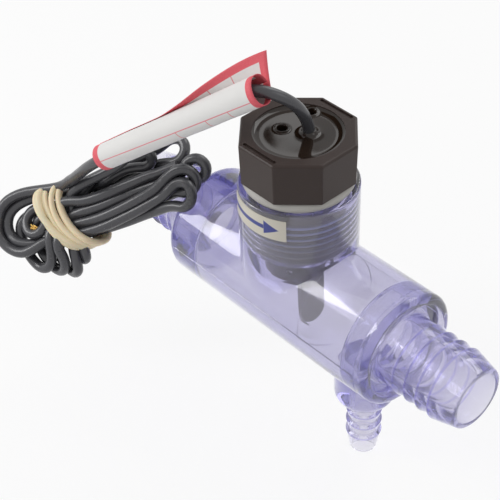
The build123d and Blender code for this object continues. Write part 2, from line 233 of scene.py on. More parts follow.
class Graph:
    """A short way to lay out the nodes of one material or node group."""

    def __init__(self, tree: bpy.types.NodeTree) -> None:
        """Keeps the tree that nodes are added to."""
        self.tree = tree

    def node(self, kind: str, settings: dict[str, object] | None = None,
             **inputs: object) -> bpy.types.Node:
        """Adds a node.

        Args:
            kind: The node's type name.
            settings: Attributes of the node.
            **inputs: Input sockets by name, underscores for spaces, as a value or a socket.

        Returns:
            The node.
        """
        made = self.tree.nodes.new(kind)
        for name, value in (settings or {}).items():
            setattr(made, name, value)
        for name, value in inputs.items():
            self.put(made.inputs[name.replace("_", " ")], value)
        return made

    def group(self, tree: bpy.types.NodeTree, **inputs: object) -> bpy.types.Node:
        """Adds a node group with its own values, named as in node()."""
        made = self.node("ShaderNodeGroup", {"node_tree": tree})
        for name, value in inputs.items():
            self.put(made.inputs[name.replace("_", " ")], value)
        return made

    def put(self, socket: bpy.types.NodeSocket, value: object) -> None:
        """Links a socket to an input, or sets the input's own value."""
        if isinstance(value, bpy.types.NodeSocket):
            self.tree.links.new(value, socket)
        elif socket.type == "RGBA":
            socket.default_value = (*value[:3], 1.0)
        else:
            socket.default_value = value

    def math(self, operation: str, *values: object, clamp: bool = False) -> bpy.types.NodeSocket:
        """Adds a Math node and returns its value."""
        made = self.tree.nodes.new("ShaderNodeMath")
        made.operation = operation
        made.use_clamp = clamp
        for socket, value in zip(made.inputs, values):
            self.put(socket, value)
        return made.outputs[0]

    def mix(self, factor: object, a: object, b: object) -> bpy.types.NodeSocket:
        """Adds a colour mix and returns its colour."""
        made = self.tree.nodes.new("ShaderNodeMix")
        made.data_type = "RGBA"
        for socket, value in zip((made.inputs[0], made.inputs[6], made.inputs[7]),
                                 (factor, a, b)):
            self.put(socket, value)
        return made.outputs[2]

    def blend(self, factor: object, first: object, second: object) -> bpy.types.NodeSocket:
        """Adds a Mix Shader and returns its shader."""
        made = self.tree.nodes.new("ShaderNodeMixShader")
        for socket, value in zip(made.inputs, (factor, first, second)):
            self.put(socket, value)
        return made.outputs[0]

    def product(self, *values: object) -> object:
        """Multiplies values one by another."""
        made = values[0]
        for value in values[1:]:
            made = self.math("MULTIPLY", made, value)
        return made

    def off(self, value: object, place: object) -> bpy.types.NodeSocket:
        """How far a value is from a place, either way."""
        return self.math("ABSOLUTE", self.math("SUBTRACT", value, place))

    def ramp(self, factor: object, low: float, high: float) -> bpy.types.NodeSocket:
        """Maps a value to 0 at low and 1 at high, smoothly."""
        made = self.node("ShaderNodeMapRange", {"interpolation_type": "SMOOTHSTEP"})
        for name, value in (("Value", factor), ("From Min", low), ("From Max", high)):
            self.put(made.inputs[name], value)
        return made.outputs[0]

    def place(self) -> bpy.types.NodeSocket:
        """The point's Object coordinates."""
        return self.node("ShaderNodeTexCoord").outputs["Object"]

    def noise(self, place: object, scale: float, detail: float = 3.0,
              rough: float = 0.5) -> bpy.types.NodeSocket:
        """Adds a Noise Texture and returns its value."""
        return self.node("ShaderNodeTexNoise", Vector=place, Scale=scale, Detail=detail,
                         Roughness=rough).outputs[0]

    def looked(self) -> bpy.types.NodeSocket:
        """1 for rays that reach the eye straight, or by way of a glossy or clear surface."""
        path = self.node("ShaderNodeLightPath").outputs
        return self.math("MAXIMUM", path["Is Camera Ray"], self.math(
            "MAXIMUM", path["Is Glossy Ray"], path["Is Transmission Ray"]))


def blank_material(name: str) -> tuple[bpy.types.Material, Graph]:
    """Starts a material that has no nodes yet.

    Args:
        name: The material's name.

    Returns:
        The material, and the graph that its nodes are laid out in.
    """
    material = bpy.data.materials.new(name)
    material.use_nodes = True
    material.node_tree.nodes.clear()
    return material, Graph(material.node_tree)


def new_group(name: str, inputs: Sequence[tuple[str, str, object]],
              outputs: Sequence[tuple[str, str]]) -> tuple[Graph, bpy.types.Node, bpy.types.Node]:
    """Starts a shader node group.

    Args:
        name: Name of the group.
        inputs: Name, socket type and starting value of each input.
        outputs: Name and socket type of each output.

    Returns:
        The group's graph, its input node and its output node.
    """
    tree = bpy.data.node_groups.new(name, "ShaderNodeTree")
    for label, kind, value in inputs:
        socket = tree.interface.new_socket(label, in_out="INPUT", socket_type=kind)
        if value is not None:
            socket.default_value = value
    for label, kind in outputs:
        tree.interface.new_socket(label, in_out="OUTPUT", socket_type=kind)
    graph = Graph(tree)
    return graph, graph.node("NodeGroupInput"), graph.node("NodeGroupOutput")


FLOAT, VECTOR = "NodeSocketFloat", "NodeSocketVector"


def grain_group() -> bpy.types.NodeTree:
    """Fine moulded grain with a slow, cloudy change over it.

    Returns:
        A group with outputs Cloud, Grain and Normal.
    """
    graph, given, made = new_group(
        "moulded_grain",
        [("Place", VECTOR, None), ("Cloud Scale", FLOAT, 60.0), ("Grain Scale", FLOAT, 1500.0),
         ("Depth", FLOAT, 0.00002)],
        [("Cloud", FLOAT), ("Grain", FLOAT), ("Normal", VECTOR)])
    cloud = graph.node("ShaderNodeTexNoise", Vector=given.outputs["Place"],
                       Scale=given.outputs["Cloud Scale"], Detail=4.0, Roughness=0.55).outputs[0]
    grain = graph.node("ShaderNodeTexNoise", Vector=given.outputs["Place"],
                       Scale=given.outputs["Grain Scale"], Detail=2.0, Roughness=0.6).outputs[0]
    bump = graph.node("ShaderNodeBump", Height=grain, Distance=given.outputs["Depth"],
                      Strength=1.0)
    for name, value in (("Cloud", cloud), ("Grain", grain), ("Normal", bump.outputs[0])):
        graph.put(made.inputs[name], value)
    return graph.tree


def scuff_group() -> bpy.types.NodeTree:
    """Sparse rub marks: thin lines that come and go.

    Returns:
        A group with one output, Mark.
    """
    graph, given, made = new_group(
        "rub_marks", [("Place", VECTOR, None), ("Scale", FLOAT, 180.0), ("Amount", FLOAT, 0.5)],
        [("Mark", FLOAT)])
    stretched = graph.node("ShaderNodeMapping", {"vector_type": "POINT"},
                           Vector=given.outputs["Place"], Scale=(1.0, 1.0, 0.16),
                           Rotation=(0.5, 0.7, 0.2)).outputs[0]
    lines = graph.node("ShaderNodeTexNoise", Vector=stretched, Scale=given.outputs["Scale"],
                       Detail=6.0, Roughness=0.75).outputs[0]
    patch = graph.node("ShaderNodeTexNoise", Vector=given.outputs["Place"], Scale=70.0,
                       Detail=1.0).outputs[0]
    graph.put(made.inputs["Mark"], graph.product(
        graph.ramp(lines, 0.60, 0.74), graph.ramp(patch, 0.45, 0.65), given.outputs["Amount"]))
    return graph.tree


class Palette:
    """The finishes' shared node groups and the materials made so far."""

    def __init__(self) -> None:
        """Builds the shared groups once."""
        self.grain = grain_group()
        self.scuff = scuff_group()
        self.made: dict[str, bpy.types.Material] = {}

    def grained(self, graph: Graph, cloud: float, grain: float, depth: float) -> bpy.types.Node:
        """Places the grain group with its own values."""
        return graph.group(self.grain, Place=graph.place(), Cloud_Scale=cloud,
                           Grain_Scale=grain, Depth=depth)

    def scuffed(self, graph: Graph, scale: float, amount: float) -> bpy.types.NodeSocket:
        """Places the rub marks group with its own values."""
        return graph.group(self.scuff, Place=graph.place(), Scale=scale,
                           Amount=amount).outputs["Mark"]

    def get(self, finish: "Finish") -> bpy.types.Material:
        """The material of a finish, built at its first use."""
        if finish.name not in self.made:
            self.made[finish.name] = finish.build(self)
        return self.made[finish.name]

    def dress(self, piece: bpy.types.Object, finish: "Finish") -> bpy.types.Object:
        """Gives a piece one finish all over."""
        piece.data.materials.clear()
        piece.data.materials.append(self.get(finish))
        return piece


@dataclass(frozen=True)
class Finish:
    """A finish that a piece can be dressed in."""

    name: str

    def surface(self, palette: Palette, graph: Graph) -> bpy.types.NodeSocket:
        """Lays out the finish's surface.

        Args:
            palette: Where the shared groups are.
            graph: The material's own graph.

        Returns:
            The shader that the surface wears.
        """
        raise NotImplementedError

    def inside(self, graph: Graph) -> bpy.types.NodeSocket | None:
        """The shader of what lies inside, where light goes through."""
        return None

    def build(self, palette: Palette) -> bpy.types.Material:
        """Makes the material of the finish's surface and inside."""
        material, graph = blank_material(self.name)
        made = graph.node("ShaderNodeOutputMaterial", Surface=self.surface(palette, graph))
        inside = self.inside(graph)
        if inside is not None:
            graph.put(made.inputs["Volume"], inside)
        return material


@dataclass(frozen=True)
class Moulded(Finish):
    """Opaque moulded plastic, rubber or cast resin with grain, clouding and rub marks."""

    colour: Colour = (0.05, 0.04, 0.035)
    cloud_colour: Colour = (0.06, 0.05, 0.045)
    scuff_colour: Colour = (0.12, 0.11, 0.10)
    roughness: float = 0.45
    roughness_swing: float = 0.12
    cloud: float = 55.0
    grain: float = 1600.0
    depth: float = 0.00002
    scuffs: float = 0.35
    specular: float = 0.5
    subsurface: float = 0.0

    def surface(self, palette: Palette, graph: Graph) -> bpy.types.NodeSocket:
        """Lays out this finish's surface and returns its shader."""
        grain = palette.grained(graph, self.cloud, self.grain, self.depth)
        mark = palette.scuffed(graph, 190.0, self.scuffs)
        tone = graph.mix(grain.outputs["Cloud"], self.colour, self.cloud_colour)
        tone = graph.mix(mark, tone, self.scuff_colour)
        rough = graph.math("MULTIPLY_ADD", grain.outputs["Cloud"], self.roughness_swing,
                           self.roughness - self.roughness_swing / 2)
        rough = graph.math("MULTIPLY_ADD", mark, 0.25, rough, clamp=True)
        shader = graph.node("ShaderNodeBsdfPrincipled", Base_Color=tone, Roughness=rough,
                            Normal=grain.outputs["Normal"],
                            Specular_IOR_Level=self.specular, IOR=1.5,
                            Subsurface_Weight=self.subsurface, Subsurface_Scale=0.001)
        return shader.outputs[0]


@dataclass(frozen=True)
class Metal(Finish):
    """Bare or plated metal with drawing lines and dull spots."""

    colour: Colour = (0.55, 0.54, 0.52)
    dull_colour: Colour = (0.40, 0.39, 0.37)
    roughness: float = 0.28
    lines: Point = (3000.0, 3000.0, 200.0)

    def surface(self, palette: Palette, graph: Graph) -> bpy.types.NodeSocket:
        """Lays out this finish's surface and returns its shader."""
        place = graph.node("ShaderNodeMapping", Vector=graph.place(), Scale=self.lines)
        drawn = graph.noise(place.outputs[0], 1.0, 2.0)
        spots = graph.noise(graph.place(), 700.0, 3.0)
        tone = graph.mix(graph.ramp(spots, 0.5, 0.8), self.colour, self.dull_colour)
        rough = graph.math("MULTIPLY_ADD", drawn, 0.2, self.roughness - 0.1, clamp=True)
        bump = graph.node("ShaderNodeBump", Height=drawn, Distance=0.000004, Strength=1.0)
        shader = graph.node("ShaderNodeBsdfPrincipled", Base_Color=tone, Roughness=rough,
                            Metallic=1.0, Normal=bump.outputs[0])
        return shader.outputs[0]


@dataclass(frozen=True)
class Clear(Finish):
    """Clear plastic or glass, tinted by the thickness that light crosses.

    Faces whose "weld" attribute is 1 lie inside a solvent-welded joint, where nothing bends.
    Those whose "crest" attribute is 1 are sharp barb crests, where painted shade deepens the tint.
    """

    ior: float = 1.25
    body: Colour = (0.935, 0.928, 0.928)
    # Painted shade: the deeper violet laid on the barb crests.
    crest: Colour = (0.60, 0.57, 0.87)
    clearness: float = 0.90
    gloss: float = 1.0
    absorbed: Colour = (0.143, 0.10, 0.66)
    density: float = 80.0
    shadow_tint: Colour = (0.95, 0.945, 0.98)
    ripple: float = 0.00003
    ripple_scale: float = 60.0
    haze: float = 0.05
    scuff_haze: float = 0.12

    def surface(self, palette: Palette, graph: Graph) -> bpy.types.NodeSocket:
        """Lays out this finish's surface and returns its shader."""
        flow = graph.node("ShaderNodeMapping", Vector=graph.place(), Scale=(0.45, 1.0, 1.0))
        swirl = graph.noise(flow.outputs[0], self.ripple_scale, 2.0, 0.4)
        bump = graph.node("ShaderNodeBump", Height=swirl, Distance=self.ripple, Strength=1.0)
        haze = graph.math("MULTIPLY_ADD", palette.scuffed(graph, 240.0, 1.0),
                          self.scuff_haze, self.haze)
        cloudy = graph.mix(graph.ramp(swirl, 0.35, 0.65), self.body,
                           tuple(0.985 * channel for channel in self.body))
        # Painted shade: crest faces are coloured a deeper violet.
        edge = graph.node("ShaderNodeAttribute", {"attribute_name": "crest"})
        cloudy = graph.mix(edge.outputs["Fac"], cloudy, self.crest)
        glass = graph.node("ShaderNodeBsdfPrincipled", Base_Color=cloudy, Roughness=haze,
                           IOR=self.ior, Transmission_Weight=self.clearness,
                           Coat_Weight=self.gloss, Coat_Roughness=0.06, Coat_IOR=1.45,
                           Normal=bump.outputs[0])
        lamp = graph.node("ShaderNodeBsdfTransparent", Color=self.shadow_tint)
        weld = graph.node("ShaderNodeBsdfTransparent", Color=WHITE)
        path = graph.node("ShaderNodeLightPath")
        seen = graph.blend(path.outputs["Is Shadow Ray"], glass.outputs[0], lamp.outputs[0])
        mark = graph.node("ShaderNodeAttribute", {"attribute_name": "weld"})
        return graph.blend(mark.outputs["Fac"], seen, weld.outputs[0])

    def inside(self, graph: Graph) -> bpy.types.NodeSocket:
        """The tint that the light picks up on its way through."""
        return graph.node("ShaderNodeVolumeAbsorption", Color=self.absorbed,
                          Density=self.density).outputs[0]


@dataclass(frozen=True)
class ArrowFilm(Finish):
    """Off-white label film with one plain arrow, wrapped round the riser."""

    film: Colour = (0.62, 0.585, 0.50)
    ink: Colour = (0.028, 0.040, 0.22)
    thin_ink: Colour = (0.045, 0.060, 0.30)
    riser_r: float = 18.1
    centre_z: float = 33.15
    tail_at: float = -12.6
    neck_at: float = 3.9
    tip_at: float = 8.7
    shaft_half: float = 0.72
    head_half: float = 2.35
    soft: float = 0.10

    def surface(self, palette: Palette, graph: Graph) -> bpy.types.NodeSocket:
        """Lays out this finish's surface and returns its shader."""
        xyz = graph.node("ShaderNodeSeparateXYZ", Vector=graph.place()).outputs
        angle = graph.math("ARCTAN2", xyz[0], graph.math("MULTIPLY", xyz[1], -1.0))
        along = graph.math("MULTIPLY", angle, self.riser_r)
        up = graph.off(graph.math("DIVIDE", xyz[2], MM), self.centre_z)
        soft = self.soft
        shaft = graph.product(graph.ramp(along, self.tail_at - soft, self.tail_at + soft),
                              graph.ramp(along, self.neck_at + soft, self.neck_at - soft),
                              graph.ramp(up, self.shaft_half + soft, self.shaft_half - soft))
        slope = self.head_half / (self.tip_at - self.neck_at)
        width = graph.math("MULTIPLY", graph.math("SUBTRACT", self.tip_at, along), slope)
        room = graph.math("SUBTRACT", width, up)
        head = graph.product(graph.ramp(room, -soft, soft),
                             graph.ramp(along, self.neck_at - soft, self.neck_at + soft))
        printed = graph.math("MAXIMUM", shaft, head)
        grain = palette.grained(graph, 90.0, 2600.0, 0.000006)
        film = graph.mix(grain.outputs["Cloud"], self.film,
                         tuple(0.93 * channel for channel in self.film))
        ink = graph.mix(graph.ramp(grain.outputs["Grain"], 0.35, 0.75), self.ink,
                        self.thin_ink)
        rough = graph.math("MULTIPLY_ADD", printed, -0.08, 0.42)
        shader = graph.node("ShaderNodeBsdfPrincipled", Base_Color=graph.mix(printed, film, ink),
                            Roughness=rough, Normal=grain.outputs["Normal"])
        return shader.outputs[0]


@dataclass(frozen=True)
class ThreadGlint(Finish):
    """Dark thread with painted light: highlight rings, blue-grey contact bands and a paler top."""

    dark: Colour = (0.050, 0.048, 0.070)
    # Painted light: the blue-grey where the thread touches the clear bore.
    painted_contact_light: Colour = (0.190, 0.230, 0.420)
    # Painted highlight and painted reflection: the pale of the rings and of the top.
    pale: Colour = (0.88, 0.88, 0.94)
    low_z: float = 18.4
    high_z: float = 35.4
    pitch: float = 2.14
    glint_at: float = 0.22

    def surface(self, palette: Palette, graph: Graph) -> bpy.types.NodeSocket:
        """Lays out this finish's surface and returns its shader."""
        place = graph.place()
        height = graph.math("DIVIDE", graph.node("ShaderNodeSeparateXYZ",
                                                 Vector=place).outputs[2], MM)
        turn = graph.math("FRACT", graph.math("DIVIDE", graph.math(
            "SUBTRACT", height, self.low_z), self.pitch))
        rise = graph.math("DIVIDE", graph.math("SUBTRACT", height, self.low_z),
                          self.high_z - self.low_z)
        grain = palette.grained(graph, 130.0, 1800.0, 0.00001)
        # Painted light: blue-grey bands on the thread, stronger towards the top.
        painted_contact_light = graph.product(graph.ramp(turn, 0.28, 0.42), graph.ramp(turn, 0.78, 0.64),
                             graph.ramp(rise, 0.15, 0.75))
        tone = graph.mix(painted_contact_light, self.dark, self.painted_contact_light)
        # Painted highlight: thin pale rings on the flanks, fading lower down.
        glint = graph.product(graph.ramp(graph.off(turn, self.glint_at), 0.13, 0.04),
                              graph.ramp(grain.outputs["Cloud"], 0.15, 0.50),
                              graph.ramp(rise, -0.6, 0.5))
        # Painted highlight rings and a painted reflection at the top, both in the pale colour.
        tone = graph.mix(graph.math("MAXIMUM", glint, graph.ramp(rise, 0.86, 1.0)), tone,
                         self.pale)
        shader = graph.node("ShaderNodeBsdfPrincipled", Base_Color=tone, Roughness=0.35,
                            Normal=grain.outputs["Normal"])
        return shader.outputs[0]


@dataclass(frozen=True)
class TagPaper(Finish):
    """White paper with a red border and a few thin red rules, laid out on the sheet's own UV."""

    paper: Colour = (0.80, 0.79, 0.775)
    red: Colour = (0.72, 0.085, 0.115)
    thin_red: Colour = (0.82, 0.16, 0.19)
    brown: Colour = (0.42, 0.30, 0.20)
    border: float = 2.3
    width: float = 66.0
    height: float = 34.0
    hole: Pair = (9.0, 28.0)
    hole_r: float = 1.15
    rules_along: tuple[float, ...] = (11.0, 19.5, 31.5)
    rule_across: float = 14.0
    rule_ink: float = 0.8

    def surface(self, palette: Palette, graph: Graph) -> bpy.types.NodeSocket:
        """Lays out this finish's surface and returns its shader."""
        flat = graph.node("ShaderNodeUVMap", {"uv_map": "sheet"}).outputs[0]
        xy = graph.node("ShaderNodeSeparateXYZ", Vector=flat).outputs
        along = graph.math("MULTIPLY", xy[0], self.width)
        across = graph.math("MULTIPLY", xy[1], self.height)
        edge = graph.math("MINIMUM",
                          graph.math("MINIMUM", along, graph.math("SUBTRACT", self.width, along)),
                          graph.math("MINIMUM", across,
                                     graph.math("SUBTRACT", self.height, across)))
        red = graph.ramp(edge, self.border + 0.08, self.border - 0.08)
        shown = graph.ramp(across, self.rule_across - 0.1, self.rule_across + 0.1)
        for line, strength in (
                *((graph.off(along, place), shown) for place in self.rules_along),
                (graph.off(across, self.rule_across), 1.0)):
            red = graph.math("MAXIMUM", red,
                             graph.product(graph.ramp(line, 0.20, 0.10), strength, self.rule_ink))
        fibre = palette.grained(graph, 120.0, 2200.0, 0.00002)
        paper = graph.mix(fibre.outputs["Cloud"], self.paper,
                          tuple(0.95 * channel for channel in self.paper))
        ink = graph.mix(fibre.outputs["Grain"], self.red, self.thin_red)
        aside = graph.math("SUBTRACT", along, self.hole[0])
        above = graph.math("SUBTRACT", across, self.hole[1])
        away = graph.math("SQRT", graph.math("ADD", graph.math("MULTIPLY", aside, aside),
                                             graph.math("MULTIPLY", above, above)))
        paper = graph.mix(graph.ramp(graph.off(away, self.hole_r), 0.34, 0.16), paper,
                          self.brown)
        shader = graph.node("ShaderNodeBsdfPrincipled", Base_Color=graph.mix(red, paper, ink),
                            Roughness=0.55, Normal=fibre.outputs["Normal"],
                            Specular_IOR_Level=0.35)
        return shader.outputs[0]


CLEAR_PVC = Clear("clear_pvc_moulding")
PLUG = Moulded("plug_moulding", (0.033, 0.021, 0.018), (0.043, 0.029, 0.025),
               (0.085, 0.072, 0.064), 0.38, 0.10, depth=0.000022, scuffs=0.45, specular=0.26)
SEAL = Moulded("seal_rubber_skin", (0.40, 0.385, 0.36), (0.46, 0.445, 0.42),
               (0.55, 0.54, 0.51), 0.50, 0.10, depth=0.00002, scuffs=0.2)
RESIN = Moulded("cast_resin", (0.016, 0.009, 0.006), (0.024, 0.015, 0.010),
                (0.03, 0.025, 0.02), 0.05, 0.03, cloud=120.0, depth=0.0000004, scuffs=0.0,
                specular=0.34)
PADDLE = Moulded("paddle_moulding", (0.060, 0.052, 0.052), (0.075, 0.066, 0.064),
                 (0.10, 0.09, 0.09), 0.42, 0.1, scuffs=0.25)
JACKET = Moulded("cable_jacket_skin", (0.050, 0.050, 0.057), (0.064, 0.064, 0.071),
                 (0.12, 0.12, 0.125), 0.27, 0.10, cloud=90.0, grain=2200.0, depth=0.000008,
                 scuffs=0.30, specular=0.55)
LATEX = Moulded("latex_band", (0.82, 0.67, 0.44), (0.88, 0.76, 0.54), (0.70, 0.52, 0.30),
                0.50, 0.15, cloud=160.0, grain=900.0, depth=0.00004, scuffs=0.3,
                subsurface=0.15)
INSULATION = Moulded("wire_insulation_skin", (0.09, 0.09, 0.10), (0.11, 0.11, 0.12),
                     (0.2, 0.2, 0.2), 0.45, 0.1)
STEEL = Metal("pin_steel_drawn", lines=(3000.0, 200.0, 3000.0))
PLATED = Metal("magnet_plating", (0.62, 0.62, 0.63), (0.45, 0.45, 0.46), 0.16)
TINNED = Metal("tinned_copper", (0.74, 0.72, 0.68), (0.55, 0.52, 0.47), 0.26)
BRASS = Metal("bright_copper_alloy", (0.86, 0.56, 0.17), (0.66, 0.40, 0.12), 0.30)
REED = Metal("reed_alloy", (0.56, 0.55, 0.53), (0.42, 0.41, 0.40), 0.22,
             (3000.0, 200.0, 3000.0))
REED_GLASS = Clear("reed_glass_tube", 1.52, (0.97, 1.0, 0.98), (0.97, 1.0, 0.98), 1.0, 0.0,
                   (0.45, 0.85, 0.62), 60.0, (0.85, 0.93, 0.88), 0.00001, 300.0)
FILM = ArrowFilm("arrow_film")
# Painted highlight, painted contact light and a painted reflection on the plug's thread.
GLINT = ThreadGlint("thread_glint")
PAPER = TagPaper("bordered_paper")


@dataclass
class HoseBarb:
    """A hose barb's crests, as places along its axis."""

    neck_r: float = 11.2
    crest_r: float = 11.7
    valley_r: float = 10.4
    first: float = 49.0
    pitch: float = 4.4
    crests: int = 4
    rise: float = 0.5
    land: float = 0.4
    tip: float = 70.6
    tip_r: float = 9.7
    edge: float = 0.12
    fall: float = 0.35
    drop: float = 0.10

    def outline(self, root: float) -> list[Pair]:
        """Corners from the root to the tip.

        Args:
            root: Where the barb's neck starts, along the axis.

        Returns:
            Corners as (place along the axis, radius).
        """
        corners, floor = [(root, self.neck_r)], self.neck_r
        for number in range(self.crests):
            at = self.first + number * self.pitch
            corners += [(at - self.rise, floor), (at, self.crest_r - self.edge),
                        (at + self.edge, self.crest_r), (at + self.land, self.crest_r),
                        (at + self.land + self.fall, self.crest_r - self.drop)]
            floor = self.valley_r
        return corners + [(self.tip, self.tip_r)]


@dataclass
class Thread:
    """The riser's thread, drawn as rings: its bore's crests and the plug's matching ones."""

    low_z: float = 18.4
    high_z: float = 35.4
    pitch: float = 2.14
    bore_crest_r: float = 14.35
    bore_root_r: float = 15.3
    shank_root_r: float = 14.05
    shank_crest_r: float = 15.08
    flank: tuple[float, float, float] = (0.20, 0.72, 0.84)
    ring_width: float = 2.20
    root_edge: float = 0.10

    def profile(self, crest_r: float, root_r: float) -> list[Pair]:
        """Flanks, crests and roots, from the bottom up.

        Args:
            crest_r: Radius where the rings stand into the bore.
            root_r: Radius at the rings' roots.

        Returns:
            Points as (height, radius).
        """
        made: list[Pair] = []
        turns = int((self.high_z - self.low_z) / self.pitch)
        steps = list(zip(self.flank, (crest_r, root_r - self.root_edge, root_r)))
        for turn in range(turns):
            low = self.low_z + turn * self.pitch
            made += [(low + at, radius) for at, radius in steps]
            made += [(low + self.ring_width - at, radius) for at, radius in reversed(steps)]
        return made


@dataclass
class ClearTee:
    """The clear moulding: a run with a closed end and a barb, a threaded riser, a drain barb."""

    palette: Palette
    barb: HoseBarb = field(default_factory=HoseBarb)
    drain: HoseBarb = field(default_factory=lambda: HoseBarb(
        4.9, 5.6, 4.75, 35.5, 4.75, 3, 0.5, 0.3, 52.5, 4.3))
    thread: Thread = field(default_factory=Thread)
    body_r: float = 18.4
    cavity_r: float = 15.3
    socket_r: float = 15.6
    core_split_x: float = 16.0
    closed_end_x: float = -41.5
    closed_round: float = 3.0
    end_wall: float = 9.8
    open_end_x: float = 40.6
    cap_end_x: float = 33.6
    passage_r: float = 8.1
    riser_r: float = 18.0
    rim_z: float = 38.2
    mouth_r: float = 15.0
    mouth_depth: float = 1.8
    floor_z: float = 17.5
    throat_r: float = 12.4
    drain_x: float = 28.5
    boss_r: float = 9.6
    boss_side: float = 24.6
    boss_end: float = 30.8
    drain_bore_r: float = 3.1
    parting_width: float = 0.24
    segments: int = 180

    def run(self) -> bpy.types.Object:
        """The run's outside with its closed end and inlet barb."""
        inlet = [(-x, r) for x, r in self.barb.outline(-self.closed_end_x)]
        corners = [(self.open_end_x, 0.0), (self.open_end_x, self.body_r),
                   (self.closed_end_x, self.body_r), *inlet, (-self.barb.tip, 0.0)]
        radii = {1: 0.14, 2: self.closed_round, 3: 1.2, len(corners) - 2: 0.7}
        return as_object("tee_clear", turned(rounded(corners, radii), Spin.RUN, self.segments))

    def riser(self) -> bpy.types.Object:
        """The riser's outside, from inside the run to its rounded rim."""
        corners = [(1.0, 0.0), (1.0, self.riser_r), (self.rim_z, self.riser_r),
                   (self.rim_z, 0.0)]
        return as_object("riser", turned(rounded(corners, {2: 0.8}), Spin.RISER, self.segments))

    def drain_boss(self) -> bpy.types.Object:
        """The drain's domed boss and its barb, pointing down."""
        barb = [(-z, r) for z, r in self.drain.outline(self.boss_end)]
        corners = [(-1.0, 0.0), (-1.0, self.boss_r), (-self.boss_side, self.boss_r),
                   (-self.boss_end, self.boss_r), *barb, (-self.drain.tip, 0.0)]
        radii = {3: 4.2, len(corners) - 2: 0.5}
        return as_object("drain", turned(rounded(corners, radii), Spin.RISER, 96,
                                         (self.drain_x, 0, 0)))

    def parting_line(self) -> bpy.types.Object:
        """The fine raised line that the mould's halves leave along both sides of the run."""
        bm = bmesh.new()
        length = self.open_end_x - self.closed_end_x - self.closed_round - 0.6
        middle = (self.open_end_x + self.closed_end_x + self.closed_round) / 2
        for side in (-1, 1):
            made = bmesh.ops.create_cube(bm, size=1.0)["verts"]
            bmesh.ops.rotate(bm, verts=made, cent=(0, 0, 0),
                             matrix=Matrix.Rotation(math.radians(45), 3, "X"))
            bmesh.ops.scale(bm, verts=made, vec=(length, self.parting_width,
                                                 self.parting_width))
            bmesh.ops.translate(bm, verts=made, vec=(middle, side * self.body_r, 0))
        return as_object("parting", bm)

    def bore(self) -> bpy.types.Object:
        """All that is hollow in the tee: run, riser with its thread, and drain."""
        run = rounded([(self.open_end_x + 2, 0.0), (self.open_end_x + 2, self.socket_r),
                       (self.cap_end_x, self.socket_r), (self.core_split_x, self.socket_r),
                       (self.core_split_x - 0.1, self.cavity_r),
                       (self.closed_end_x + self.end_wall, self.cavity_r),
                       (self.closed_end_x + self.end_wall, self.passage_r),
                       (-self.barb.tip - 2, self.passage_r), (-self.barb.tip - 2, 0.0)],
                      {5: self.closed_round, 6: 0.6})
        cut = as_object("bore", turned(run, Spin.RUN, self.segments))
        riser = [(0.3, 0.0), (0.3, self.throat_r), (self.floor_z, self.throat_r),
                 (self.floor_z, self.thread.bore_crest_r),
                 *self.thread.profile(self.thread.bore_crest_r, self.thread.bore_root_r),
                 (self.thread.high_z, self.thread.bore_crest_r),
                 (self.rim_z - self.mouth_depth, self.mouth_r),
                 (self.rim_z - 0.25, self.mouth_r), (self.rim_z + 0.4, self.mouth_r + 0.65),
                 (self.rim_z + 0.4, 0.0)]
        joined(cut, as_object("riser_bore", turned(riser, Spin.RISER, self.segments)),
               Join.UNION)
        drain = [(-2.0, 0.0), (-2.0, self.drain_bore_r), (-self.drain.tip - 1, self.drain_bore_r),
                 (-self.drain.tip - 1, 0.0)]
        return joined(cut, as_object("drain_bore", turned(drain, Spin.RISER, 64,
                                                          (self.drain_x, 0, 0))), Join.UNION)

    def build(self) -> bpy.types.Object:
        """Builds the tee.

        Returns:
            The clear tee, dressed and riding on the switch's body.
        """
        tee = self.run()
        for part in (self.riser(), self.drain_boss(), self.parting_line()):
            joined(tee, part, Join.UNION)
        joined(tee, self.bore(), Join.CUT)
        mark_faces(tee, "weld", lambda at, r: (abs(r - self.socket_r) < 0.1
                                               and at.x > self.cap_end_x)
                   or (abs(at.x - self.open_end_x) < 0.02 and r < self.body_r - 0.2))
        # Crest faces get the clear material's painted shade, a deeper violet.
        mark_faces(tee, "crest", lambda at, r: (-at.x > self.barb.first - self.barb.rise
                                                and r > self.barb.crest_r - 0.09)
                   or (-at.z > self.drain.first - self.drain.rise
                       and math.hypot(at.x - self.drain_x, at.y) > self.drain.crest_r - 0.09))
        self.palette.dress(finished(tee), CLEAR_PVC)
        return seat(tee, Ride.SWITCH, "clear_pvc", "tee_body")


def mark_faces(piece: bpy.types.Object, name: str,
               inside: Callable[[Vector, float], bool]) -> None:
    """Marks some faces of a clear piece for its material.

    Args:
        piece: A clear piece, in millimetres.
        name: The mark's attribute.
        inside: Says if a face is marked, from its centre and its distance off the run's axis.
    """
    mark = piece.data.attributes.new(name, "FLOAT", "FACE")
    values = [float(inside(face.center, math.hypot(face.center.y, face.center.z)))
              for face in piece.data.polygons]
    mark.data.foreach_set("value", values)
    LOG.info("%s has %d faces marked %s", piece.name, int(sum(values)), name)


